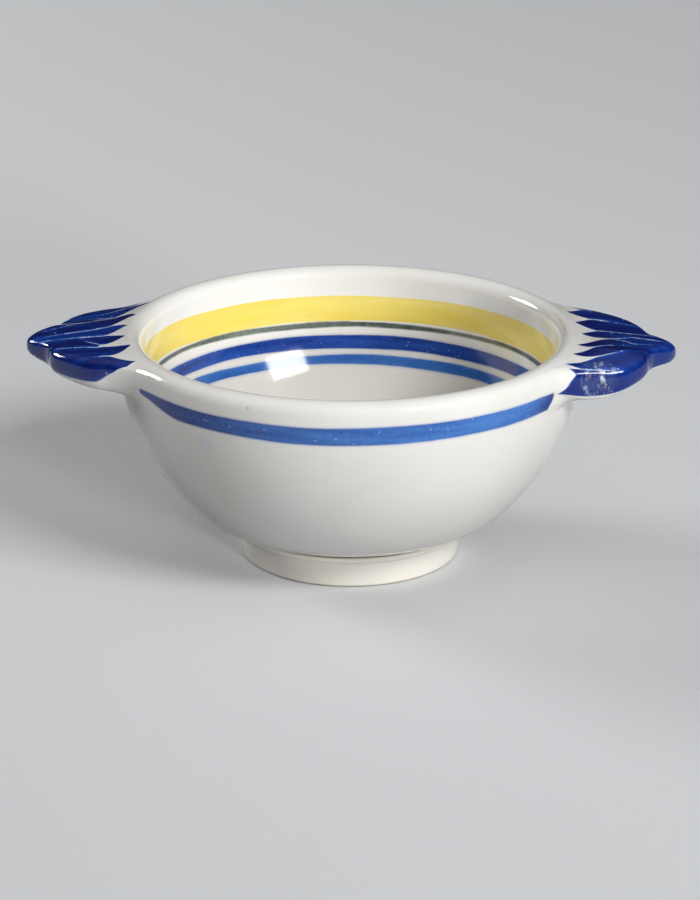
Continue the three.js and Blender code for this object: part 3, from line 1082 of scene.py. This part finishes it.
def paint_strokes(piece, strokes, side):
    """Stores the brush strokes of one lug: place across them, their width, their tips, edge and slivers."""
    points = positions(piece)
    rows = recall(piece, "row")
    turn = edge_angle(rows)
    radius = recall(piece, "way")
    angle = np.degrees(lug_angles(points, side))
    first = [LINE_START, 2 * strokes[0]["tip"][1] - strokes[0]["line"][0][1]]
    lines = [[first, *OUTER_LINE], *[stroke["line"] for stroke in strokes]]
    line_angles = np.maximum.accumulate([along_line(line, radius) for line in lines], axis=0)
    place = np.zeros(len(points))
    width = np.zeros(len(points))
    tip = np.full(len(points), float(-FAR))
    for number, stroke in enumerate(strokes):
        low, high = line_angles[number:number + 2]
        low_line, high_line = lines[number:number + 2]
        gap = np.maximum(high - low, LEAST_GAP)
        share = np.clip((angle - low) / gap, 0, 1)
        place += share
        within = (angle >= low) & (angle < high)
        width = np.where(within, np.radians(gap) * radius, width)
        tip_radius, tip_angle = stroke["tip"]
        tip_low = along_line(low_line, tip_radius)
        tip_high = along_line(high_line, tip_radius)
        middle = np.clip((tip_angle - tip_low) / max(tip_high - tip_low, 2 * LEAST_GAP), *TIP_LIMITS)
        away = np.where(share < middle, (middle - share) / middle, (share - middle) / (1 - middle))
        valley = np.maximum(np.where(share < middle, low_line[1][0], high_line[1][0]), tip_radius)
        taper = 0.5 * away + 0.5 * (1 - np.sqrt(np.maximum(1 - away, 0)))
        tip = np.where(within, radius - tip_radius - (valley - tip_radius) * taper, tip)
    nearest = np.clip(np.rint(place).astype(int), 0, len(strokes))
    ends = np.array([0] + [stroke["sliver"] for stroke in strokes])[nearest]
    begins = np.array([line[1][0] for line in lines])[nearest]
    along = np.clip((radius - begins) / np.maximum(ends - begins, 1), 0, 2)
    sliver = np.where(ends > 0, SLIVER_HALF * (1 - along**2), -1)
    store(piece, "stroke", place)
    store(piece, "stroke_width", width)
    store(piece, "sliver", np.clip(sliver, -1, 1))
    face = face_limits(angle, turn - 90 * zone_share(rows, 3), place, side)
    store_distance(piece, "cobalt", np.minimum(tip, face))
    # Lighter cobalt down the edge: thinner glaze there, and partly painted light where the edge faces the
    # lamps
    thin_and_lit_edge = THIN_AND_LIT_EDGE * smooth_step(*THIN_AND_LIT_EDGE_TURN, turn)
    thin_tip = np.exp(-((angle - TIP_PLACE) / TIP_HALF) ** 2) * smooth_step(*THIN_TIP_TURN, turn)
    store(piece, "rounding", smooth_step(*CALM_TURN, turn))
    store(piece, "cobalt_charge", -thin_and_lit_edge - THIN_TIP[side] * thin_tip)
    from_blister = np.linalg.norm(points - np.array(BLISTER), axis=1) / MM
    store_distance(piece, "blister", BLISTER_RADIUS - from_blister)


def face_limits(angle, turn, place, side):
    """Distance from where the paint ends on a lug's edge, by degrees from its axis and round its edge."""
    from_end = EDGE_DEGREE * (turn - along_line(PAINT_END[side], angle))
    if side == "left":
        return from_end
    from_front = FRONT_DEGREE * (angle - along_line(FRONT_END, turn))
    return np.minimum(from_end, np.where(place < 1, from_front, FAR))


# Materials

COLOUR_MIX = {"out": 2, "data_type": "RGBA"}
GLAZE_IOR = 1.52
BOWL_ROUGHNESS = 0.1
LUG_ROUGHNESS = 0.09
FOOT_ROUGHNESS = 0.22
SPECK_COLOUR = "#8a8378"
# Sizes of marks in the glaze and in the paint, in millimetres
DRIFT_SIZE = 30
SPECKS_APART = 9
RAG_SIZE = 4
GRAIN_SIZE = 0.9
POOL_REACH = 1.1
PEEL_SIZE = 7
LUMP_SIZE = 1.6
FLAKE_SIZE = 1.7
RUB_SIZE = 3
# Height of the orange peel, and the lumps' share of it
PEEL_HEIGHT = 0.06 * MM
LUMP_SHARE = 0.1
# Edges of the slivers between strokes: size and detail of the noise, least and most shift in millimetres
SLIVER_EDGES = [[4.5, 2.0, -0.55, 0.45], [0.9, 3.0, -0.42, 0.42]]
STROKE_SPAN = 5 * MM  # width that the streaks take a stroke to have
STREAK_DRAW = 0.14 * MM  # length of pattern for each millimetre along a stroke, which draws the streaks out
WEAR_HEIGHT = 0.5 * MM  # bare clay at the bottom of the foot ring
CREASE_SHADE = (0.65 * MM, 0.35 * MM)  # below the corner over the foot ring, where the painted shade in the crease starts and is full


def add_node(tree, kind, links=None, out=0, **settings):
    """Adds a node with its settings, and its inputs linked or set to values, and hands back an output."""
    node = tree.nodes.new(f"ShaderNode{kind}")
    for name, value in settings.items():
        setattr(node, name, value)
    for name, source in (links or {}).items():
        if isinstance(source, bpy.types.NodeSocket):
            tree.links.new(source, node.inputs[name])
        else:
            node.inputs[name].default_value = source
    return node.outputs[out] if node.outputs else None


def per_size(millimetres):
    """Texture scale of a pattern whose marks are this far apart."""
    return 1 / (millimetres * MM)


def new_material(name):
    """An empty node material."""
    material = bpy.data.materials.new(name)
    material.use_nodes = True
    material.node_tree.nodes.clear()
    return material, material.node_tree


def glaze_ground(tree, white, shade):
    """Bare white glaze: slow drifts from white to thin, and a few iron specks in it."""
    place = add_node(tree, "TexCoord", out="Object")
    drift = add_node(tree, "TexNoise", {"Vector": place, "Scale": per_size(DRIFT_SIZE), "Detail": 3.0})
    thin = add_node(tree, "MapRange", {"Value": drift, "From Min": 0.42, "From Max": 0.75})
    ground = add_node(tree, "Mix", {"Factor": thin, 6: white, 7: shade}, **COLOUR_MIX)
    cells = add_node(tree, "TexVoronoi", {"Vector": place, "Scale": per_size(SPECKS_APART)}).node.outputs
    near = {"From Min": 0.03, "From Max": 0.045, "To Min": 0.5, "To Max": 0.0}
    spot = add_node(tree, "MapRange", {"Value": cells["Distance"], **near})
    chance = add_node(tree, "SeparateColor", {"Color": cells["Color"]})
    rare = add_node(tree, "Math", {0: chance, 1: 0.82}, operation="GREATER_THAN")
    speck = add_node(tree, "Math", {0: spot, 1: rare}, operation="MULTIPLY")
    return place, add_node(tree, "Mix", {"Factor": speck, 6: ground, 7: linear(SPECK_COLOUR)}, **COLOUR_MIX)


def pinholes(tree, place, apart, size, share, strength):
    """Pale dots where gas broke through the glaze, as a factor that lets the ground show.

    Sizes are in millimetres, and a share of the cells holds a dot.
    """
    cells = add_node(tree, "TexVoronoi", {"Vector": place, "Scale": per_size(apart)}).node.outputs
    near = 0.5 * size / apart
    rim = {"From Min": near, "From Max": 1.6 * near, "To Min": 1 - strength}
    whole = add_node(tree, "MapRange", {"Value": cells["Distance"], **rim})
    chance = add_node(tree, "SeparateColor", {"Color": cells["Color"]})
    common = add_node(tree, "Math", {0: chance, 1: share}, operation="GREATER_THAN")
    return add_node(tree, "Math", {0: whole, 1: common}, operation="MAXIMUM")


def layer(distance, thin, thick, **changes):
    """Settings of one painted colour. Sizes are in millimetres."""
    settings = {
        "distance": distance,
        "thin": thin,
        "thick": thick,
        "rag": 0.1,
        "soft": 0.22,
        "draw": 0.1,
        "streak": 2.4,
        "pool": 0.1,
        "grain": 0.25,
        "least": 0.22,
        "most": 0.8,
        "bleed": 0.0,
        "halo": 1.6,
    }
    settings.update(changes)
    return settings


def paint_layer(tree, place, ground, coat):
    """Lays one colour over the ground where its distance is above zero, streaked along the brush."""
    distance = add_node(tree, "Attribute", out="Fac", attribute_name=coat["distance"])
    rag = add_node(tree, "TexNoise", {"Vector": place, "Scale": per_size(RAG_SIZE), "Detail": 3.0})
    shift = add_node(tree, "MapRange", {"Value": rag, "To Min": -coat["rag"], "To Max": coat["rag"]})
    edge = add_node(tree, "Math", {0: distance, 1: shift}, operation="ADD")
    fade = {"From Min": -coat["soft"], "From Max": coat["soft"]}
    mask = add_node(tree, "MapRange", {"Value": edge, **fade}, interpolation_type="SMOOTHSTEP")
    if "gaps" in coat:
        mask = add_node(tree, "Math", {0: mask, 1: coat["gaps"]}, operation="MULTIPLY")

    drawn = (coat["draw"], coat["draw"], 1.0)
    brushed = add_node(tree, "Mapping", {"Vector": coat.get("way", place), "Scale": drawn})
    fine = per_size(coat["streak"])
    load = add_node(tree, "TexNoise", {"Vector": brushed, "Scale": fine, "Detail": 4.0})
    if "calm" in coat:
        load = add_node(tree, "Mix", {"Factor": coat["calm"], 2: load, 3: 0.5})
    rim = {"From Min": 0.0, "From Max": POOL_REACH, "To Min": coat["pool"], "To Max": 0.0}
    pool = add_node(tree, "MapRange", {"Value": edge, **rim})
    grain = add_node(tree, "TexNoise", {"Vector": place, "Scale": per_size(GRAIN_SIZE), "Detail": 2.0})
    mottle = add_node(tree, "MapRange", {"Value": grain, "To Min": -coat["grain"], "To Max": coat["grain"]})
    extras = [pool, mottle]
    if "load" in coat:
        extras.append(coat["load"])
    if "charge" in coat:
        extras.append(add_node(tree, "Attribute", out="Fac", attribute_name=coat["charge"]))
    for extra in extras:
        load = add_node(tree, "Math", {0: load, 1: extra}, operation="ADD")
    limits = {"From Min": coat["least"], "From Max": coat["most"]}
    thick = add_node(tree, "MapRange", {"Value": load, **limits})
    paint = add_node(tree, "Mix", {"Factor": thick, 6: coat["thin"], 7: coat["thick"]}, **COLOUR_MIX)

    if coat["bleed"]:
        reach = {"From Min": -coat["halo"], "From Max": 0.0, "To Max": coat["bleed"]}
        halo = add_node(tree, "MapRange", {"Value": edge, **reach}, interpolation_type="SMOOTHSTEP")
        ground = add_node(tree, "Mix", {"Factor": halo, 6: ground, 7: coat["thin"]}, **COLOUR_MIX)
    return add_node(tree, "Mix", {"Factor": mask, 6: ground, 7: paint}, **COLOUR_MIX)


def glaze_surface(tree, place, paint, roughness):
    """Shiny glaze over the painting, with the faint orange peel that firing leaves."""
    peel = add_node(tree, "TexNoise", {"Vector": place, "Scale": per_size(PEEL_SIZE), "Detail": 2.0})
    lumps = add_node(tree, "TexNoise", {"Vector": place, "Scale": per_size(LUMP_SIZE), "Detail": 1.0})
    swell = add_node(tree, "Math", {0: lumps, 1: LUMP_SHARE, 2: peel}, operation="MULTIPLY_ADD")
    bump = add_node(tree, "Bump", {"Height": swell, "Strength": 1.0, "Distance": PEEL_HEIGHT})
    haze = add_node(tree, "MapRange", {"Value": peel, "To Min": 0.7 * roughness, "To Max": 1.3 * roughness})
    finish = {"Base Color": paint, "Roughness": haze, "Normal": bump, "IOR": GLAZE_IOR}
    add_node(tree, "OutputMaterial", {"Surface": add_node(tree, "BsdfPrincipled", finish)})


def inside_glaze(colours):
    """Tin glaze painted in the raw and fired: glossy warm white with watery bands and a flower spray."""
    material, tree = new_material("tin_glaze_painted_inside")
    place, ground = glaze_ground(tree, colours.white, colours.white_shade)
    bubbles = pinholes(tree, place, apart=1.6, size=0.4, share=0.4, strength=0.22)
    layers = [
        layer("yellow", colours.yellow_thin, colours.yellow_thick, streak=3.5, grain=0.1),
        layer("blue", colours.blue_thin, colours.blue_thick, bleed=0.22, halo=1.0, pool=-0.1),
        layer("navy", colours.navy_thin, colours.navy_thick, bleed=0.22, halo=1.0, pool=-0.1, gaps=bubbles),
        layer("line", colours.line_thin, colours.line_thick, soft=0.35, rag=0.15),
        layer("wear", colours.foot, colours.stain, soft=0.4, rag=0.2, streak=3, draw=1, gaps=0.7),
    ]
    spray = {
        "green": (colours.green_thin, colours.green_thick),
        "stems": (colours.dark_thin, colours.dark_thick),
        "spray_navy": (colours.blue_thin, colours.navy_thick),
        "spray_yellow": (colours.yellow_thin, colours.yellow_thick),
        "red": (colours.red_thin, colours.red_thick),
        "dark": (colours.dark_thin, colours.dark_thick),
    }
    for name, (thin, thick) in spray.items():
        strokes = layer(name, thin, thick, charge=f"{name}_load")
        strokes.update(draw=1, streak=2.2, grain=0.3, rag=0.3, pool=0.2, least=0.1, most=0.85, soft=0.2)
        layers.append(strokes)
    for settings in layers:
        ground = paint_layer(tree, place, ground, settings)
    glaze_surface(tree, place, ground, BOWL_ROUGHNESS)
    return material


def outside_glaze(colours):
    """The same glaze on the outside, with one mid-blue band between the lugs and a smudge under it."""
    material, tree = new_material("tin_glaze_painted_outside")
    place, ground = glaze_ground(tree, colours.white, colours.white_shade)
    smudge = layer("smudge", colours.white, colours.smudge, draw=2, streak=3)
    smudge.update(soft=2.2, rag=0.8, least=0.2, most=0.7)
    for settings in (smudge, outside_layer(tree, place, colours)):
        ground = paint_layer(tree, place, ground, settings)
    glaze_surface(tree, place, ground, BOWL_ROUGHNESS)
    return material


def outside_layer(tree, place, colours):
    """The band on the outside, which also runs on to the lugs' roots, with small bubbles in it."""
    bubbles = pinholes(tree, place, apart=2.4, size=0.4, share=0.45, strength=0.35)
    brushed = layer("outside_band", colours.blue_thin, colours.blue_deep, charge="band_charge", gaps=bubbles)
    brushed.update(bleed=0.18, halo=1.0, pool=0.1, least=0.22, most=1.05, soft=0.35)
    return brushed


def cobalt_layer(tree, place, colours):
    """Strokes of cobalt that leave slivers between them and lie more evenly round a lug's edge."""
    names = ("stroke", "stroke_width", "sliver", "way", "rounding")
    read = [add_node(tree, "Attribute", out="Fac", attribute_name=name) for name in names]
    stroke, width, sliver, way, rounding = read
    nearest = add_node(tree, "Math", {0: stroke}, operation="ROUND")
    off = add_node(tree, "Math", {0: stroke, 1: nearest}, operation="SUBTRACT")
    away = add_node(tree, "Math", {0: off}, operation="ABSOLUTE")
    apart = add_node(tree, "Math", {0: away, 1: width}, operation="MULTIPLY")

    for size, detail, low, high in SLIVER_EDGES:
        broken = add_node(tree, "TexNoise", {"Vector": place, "Scale": per_size(size), "Detail": detail})
        shift = add_node(tree, "MapRange", {"Value": broken, "To Min": low, "To Max": high})
        sliver = add_node(tree, "Math", {0: sliver, 1: shift}, operation="ADD")
    inside = add_node(tree, "Math", {0: apart, 1: sliver}, operation="SUBTRACT")
    gaps = add_node(tree, "MapRange", {"Value": inside, "From Min": -0.12, "From Max": 0.16})
    dots = pinholes(tree, place, apart=4.5, size=0.45, share=0.6, strength=0.8)
    gaps = add_node(tree, "Math", {0: gaps, 1: dots}, operation="MULTIPLY")

    across = add_node(tree, "Math", {0: stroke, 1: STROKE_SPAN}, operation="MULTIPLY")
    along = add_node(tree, "Math", {0: way, 1: STREAK_DRAW}, operation="MULTIPLY")
    brushed = add_node(tree, "CombineXYZ", {"X": across, "Y": along})
    whole = add_node(tree, "Math", {0: stroke}, operation="FLOOR")
    chance = add_node(tree, "TexWhiteNoise", {"W": whole}, out="Value", noise_dimensions="1D")
    load = add_node(tree, "MapRange", {"Value": chance, "To Min": 0.0, "To Max": 0.25})
    thinner = {"From Min": 0.2, "From Max": 2.2, "To Min": -0.22, "To Max": 0.08}
    side = add_node(tree, "MapRange", {"Value": apart, **thinner})
    load = add_node(tree, "Math", {0: load, 1: side}, operation="ADD")
    calm = add_node(tree, "Math", {0: rounding, 1: 0.85}, operation="MULTIPLY")
    load = add_node(tree, "Mix", {"Factor": calm, 2: load, 3: 0.27})
    cobalt = layer("cobalt", colours.lug_thin, colours.lug_thick, gaps=gaps, load=load)
    cobalt.update(charge="cobalt_charge", way=brushed, calm=calm, draw=1.0, streak=1.3, grain=0.06)
    cobalt.update(bleed=0.12, halo=0.5, pool=-0.2, least=0.08, most=0.78)
    return cobalt


def blister_layer(tree, place, colours):
    """The blistered patch: grey and pale flakes, drawn out downwards."""
    drawn = add_node(tree, "Mapping", {"Vector": place, "Scale": (1.0, 1.0, 0.5)})
    flakes = add_node(tree, "TexNoise", {"Vector": drawn, "Scale": per_size(FLAKE_SIZE), "Detail": 3.0})
    broken = {"From Min": 0.5, "From Max": 0.64, "To Min": 0.06, "To Max": 0.95}
    burst = add_node(tree, "MapRange", {"Value": flakes, **broken})
    blister = layer("blister", colours.blister_grey, colours.blister_pale, gaps=burst, draw=1, streak=1.6)
    blister.update(soft=2.0, rag=1.6, grain=0.3, least=0.38, most=0.56)
    return blister


def lug_glaze(colours):
    """Cobalt over white tin glaze in broad strokes: deep blue, brighter where thin, with milky gaps."""
    material, tree = new_material("tin_glaze_cobalt_strokes")
    place, ground = glaze_ground(tree, colours.white, colours.white_shade)
    layers = [
        outside_layer(tree, place, colours),
        layer("cobalt", colours.lug_wash, colours.lug_gap, draw=1, streak=1.6, grain=0.4, soft=0.3),
        cobalt_layer(tree, place, colours),
        blister_layer(tree, place, colours),
    ]
    for settings in layers:
        ground = paint_layer(tree, place, ground, settings)
    glaze_surface(tree, place, ground, LUG_ROUGHNESS)
    return material


def foot_glaze(colours, foot):
    """Thin creamy glaze, with painted shade in the crease under the bowl, and worn to bare clay where it
    stands.
    """
    material, tree = new_material("thin_glaze_foot")
    place, ground = glaze_ground(tree, colours.foot, colours.white_shade)
    height = add_node(tree, "SeparateXYZ", {"Vector": place}, out="Z")
    rub = add_node(tree, "TexNoise", {"Vector": place, "Scale": per_size(RUB_SIZE), "Detail": 4.0})
    ragged = add_node(tree, "MapRange", {"Value": rub, "To Min": -WEAR_HEIGHT, "To Max": WEAR_HEIGHT})
    level = add_node(tree, "Math", {0: height, 1: ragged}, operation="ADD")
    wear = {"From Min": 0.0, "From Max": WEAR_HEIGHT, "To Min": 0.8, "To Max": 0.0}
    worn = add_node(tree, "MapRange", {"Value": level, **wear})
    ground = add_node(tree, "Mix", {"Factor": worn, 6: ground, 7: colours.clay}, **COLOUR_MIX)
    # Painted shade: the crease colour darkens a thin band just below the corner over the foot ring, where the
    # bowl shades it
    crease = {"From Min": foot.height - CREASE_SHADE[0], "From Max": foot.height - CREASE_SHADE[1], "To Max": 0.75}
    crease_shade = add_node(tree, "MapRange", {"Value": height, **crease})
    ground = add_node(tree, "Mix", {"Factor": crease_shade, 6: ground, 7: colours.crease}, **COLOUR_MIX)
    glaze_surface(tree, place, ground, FOOT_ROUGHNESS)
    return material


# Stage

FLOOR_SIZE = 8
SKY_LOW = "#3c3d3f"
SKY_HIGH = "#f4f4f5"
SKY_RISE = 0.4  # height of the view at which the sky starts to turn pale
SKY_STRENGTH = 0.44
# Soft lights: name, place, aim, width and height in metres, power in watts
SOFTBOXES = [
    ["key_softbox", (1.9, -1.925, 1.865), (0, 0, 0.04), (1.25, 0.75), 62],
    ["left_softbox", (-1.96, 1.04, 0.9), (0, 0, 0.04), (0.9, 0.48), 24],
]
# Soft spot from the front, shaded so that it reaches the bowl and hardly any floor
FILL_PLACE = (1.17, -2.21, 0.47)
FILL_AIM = (0, 0, 0.03)
FILL_SIZE = 0.25
FILL_CONE = math.radians(12)
FILL_BLEND = 0.6
FILL_POWER = 160
CAMERA_ELEVATION = math.radians(20.05)
CAMERA_DISTANCE = 1.0
CAMERA_AIM = Vector((0, 0, 0.031))
SENSOR = 36
FRAME_HEIGHT = 900
PIXELS_PER_METRE = 3350


def lay_floor(colours):
    """A plain pale floor, seen from above only, which throws back less light than it shows."""
    bpy.ops.object.select_all(action="DESELECT")
    bpy.ops.mesh.primitive_plane_add(size=FLOOR_SIZE)
    floor = take_new("floor")
    material, tree = new_material("plain_floor")
    rays = add_node(tree, "LightPath").node.outputs
    seen = rays["Is Camera Ray"]
    for kind in ("Is Glossy Ray", "Is Transmission Ray"):
        seen = add_node(tree, "Math", {0: seen, 1: rays[kind]}, operation="MAXIMUM")
    shade = add_node(tree, "Mix", {"Factor": seen, 6: colours.floor_bounce, 7: colours.floor}, **COLOUR_MIX)
    matt = add_node(tree, "BsdfDiffuse", {"Color": shade})
    clear = add_node(tree, "BsdfTransparent")
    below = add_node(tree, "NewGeometry", out="Backfacing")
    mix = add_node(tree, "MixShader", {0: below, 1: matt, 2: clear})
    add_node(tree, "OutputMaterial", {"Surface": mix})
    floor.data.materials.append(material)


def set_world():
    """Soft surroundings, pale overhead and dim towards the horizon, as in a studio with a light ceiling."""
    world = bpy.data.worlds.new("studio")
    world.use_nodes = True
    tree = world.node_tree
    tree.nodes.clear()
    way = add_node(tree, "TexCoord", out="Generated")
    up = add_node(tree, "SeparateXYZ", {"Vector": way}, out="Z")
    share = add_node(tree, "MapRange", {"Value": up, "From Min": SKY_RISE, "From Max": 1.0})
    shade = add_node(tree, "Mix", {"Factor": share, 6: linear(SKY_LOW), 7: linear(SKY_HIGH)}, **COLOUR_MIX)
    sky = add_node(tree, "Background", {"Color": shade, "Strength": SKY_STRENGTH})
    add_node(tree, "OutputWorld", {"Surface": sky})
    bpy.context.scene.world = world


def place_aimed(data, place, way):
    """Puts a light or the camera in the scene, turned to face one way."""
    thing = bpy.data.objects.new(data.name, data)
    thing.location = place
    thing.rotation_euler = way.to_track_quat("-Z", "Y").to_euler()
    bpy.context.scene.collection.objects.link(thing)
    return thing


def add_softbox(name, place, aim, size, power):
    """One rectangular soft light."""
    data = bpy.data.lights.new(name, "AREA")
    data.shape = "RECTANGLE"
    data.size, data.size_y = size
    data.energy = power
    place_aimed(data, place, Vector(aim) - Vector(place))


def add_fill():
    """A soft spot that fills the front of the wall and the foot, and stays out of the reflections."""
    data = bpy.data.lights.new("fill_spot", "SPOT")
    data.spot_size = FILL_CONE
    data.spot_blend = FILL_BLEND
    data.shadow_soft_size = FILL_SIZE
    data.energy = FILL_POWER
    light = place_aimed(data, FILL_PLACE, Vector(FILL_AIM) - Vector(FILL_PLACE))
    light.visible_glossy = False


def set_camera(scene):
    """Camera at the height and distance of the three-quarter view, with the whole bowl in the frame."""
    data = bpy.data.cameras.new("camera")
    data.sensor_width = SENSOR
    data.lens = PIXELS_PER_METRE * CAMERA_DISTANCE * SENSOR / FRAME_HEIGHT
    back = Vector((0, -math.cos(CAMERA_ELEVATION), math.sin(CAMERA_ELEVATION)))
    scene.camera = place_aimed(data, CAMERA_AIM + CAMERA_DISTANCE * back, -back)


# Operators


class LUGBOWL_OT_bowl(bpy.types.Operator):
    """Throw the bowl, press the lugs' seats into it and paint its bands and its well"""

    bl_idname = "lugbowl.bowl"
    bl_label = "Bowl"

    def execute(self, context):
        scene = context.scene
        bowl = scene.lugbowl_bowl
        colours = scene.lugbowl_colours
        piece = spin_outline("glazed_bowl", bowl_outline(bowl, scene.lugbowl_foot))
        paint_inside(piece, bowl, scene.lugbowl_bands)
        paint_outside(piece, bowl, scene.lugbowl_bands)
        press_seats(piece, bowl, scene.lugbowl_lug)
        piece.data.materials.append(outside_glaze(colours))
        piece.data.materials.append(inside_glaze(colours))
        faces = piece.data.polygons
        centres = np.empty(len(faces) * 3)
        faces.foreach_get("center", centres)
        faces.foreach_set("material_index", on_inside(bowl, centres.reshape(-1, 3)).astype(np.int32))
        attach(piece, "root")
        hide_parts("bowl_body")
        return {"FINISHED"}


class LUGBOWL_OT_lugs(bpy.types.Operator):
    """Press the two shell-shaped lugs and brush them with cobalt"""

    bl_idname = "lugbowl.lugs"
    bl_label = "Lugs"

    def execute(self, context):
        scene = context.scene
        bowl = scene.lugbowl_bowl
        glaze = lug_glaze(scene.lugbowl_colours)
        for side, strokes in (("left", LEFT_STROKES), ("right", RIGHT_STROKES)):
            piece = model_lug(bowl, scene.lugbowl_lug, side)
            paint_strokes(piece, strokes, side)
            paint_outside(piece, bowl, scene.lugbowl_bands)
            piece.data.materials.append(glaze)
            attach(piece, "root")
            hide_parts(f"lug_{side}", f"lug_fillet_{side}")
        return {"FINISHED"}


class LUGBOWL_OT_foot(bpy.types.Operator):
    """Turn the foot ring and the bead of slip over it"""

    bl_idname = "lugbowl.foot"
    bl_label = "Foot ring"

    def execute(self, context):
        scene = context.scene
        foot = scene.lugbowl_foot
        glaze = foot_glaze(scene.lugbowl_colours, foot)
        rings = {
            "turned_foot_ring": (foot_outline(foot), "foot_ring"),
            "glazed_slip_bead": (bead_outline(foot), "foot_slip_bead"),
        }
        for name, (outline, node) in rings.items():
            piece = spin_outline(name, outline)
            if node == "foot_slip_bead":
                waver_ring(piece, BEAD_WAVER)
            piece.data.materials.append(glaze)
            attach(piece, "root")
            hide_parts(node)
        return {"FINISHED"}


class LUGBOWL_OT_stage(bpy.types.Operator):
    """Set the pale floor, the soft lights and the camera"""

    bl_idname = "lugbowl.stage"
    bl_label = "Stage"

    def execute(self, context):
        scene = context.scene
        scene.view_settings.view_transform = "Standard"
        lay_floor(scene.lugbowl_colours)
        set_world()
        for settings in SOFTBOXES:
            add_softbox(*settings)
        add_fill()
        set_camera(scene)
        return {"FINISHED"}


class LUGBOWL_PT_panel(bpy.types.Panel):
    """Lists the pieces of the bowl"""

    bl_idname = "LUGBOWL_PT_panel"
    bl_label = "Lug Bowl"
    bl_space_type = "VIEW_3D"
    bl_region_type = "UI"
    bl_category = "Lug Bowl"

    def draw(self, context):
        column = self.layout.column()
        for operator in OPERATORS:
            column.operator(operator.bl_idname)


GROUPS = {
    "lugbowl_bowl": BowlSizes,
    "lugbowl_foot": FootSizes,
    "lugbowl_lug": LugSizes,
    "lugbowl_bands": BandSizes,
    "lugbowl_colours": GlazeColours,
}
OPERATORS = [LUGBOWL_OT_bowl, LUGBOWL_OT_lugs, LUGBOWL_OT_foot, LUGBOWL_OT_stage]


def register():
    """Registers the sizes, the operators and the panel."""
    for name, group in GROUPS.items():
        bpy.utils.register_class(group)
        setattr(bpy.types.Scene, name, PointerProperty(type=group))
    for item in [*OPERATORS, LUGBOWL_PT_panel]:
        bpy.utils.register_class(item)


def unregister():
    """Takes back what register added."""
    for item in reversed([*OPERATORS, LUGBOWL_PT_panel]):
        bpy.utils.unregister_class(item)
    for name, group in GROUPS.items():
        delattr(bpy.types.Scene, name)
        bpy.utils.unregister_class(group)


def main():
    """Builds the bowl and its stage."""
    register()
    bpy.ops.lugbowl.bowl()
    bpy.ops.lugbowl.lugs()
    bpy.ops.lugbowl.foot()
    bpy.ops.lugbowl.stage()


if __name__ == "__main__":
    main()
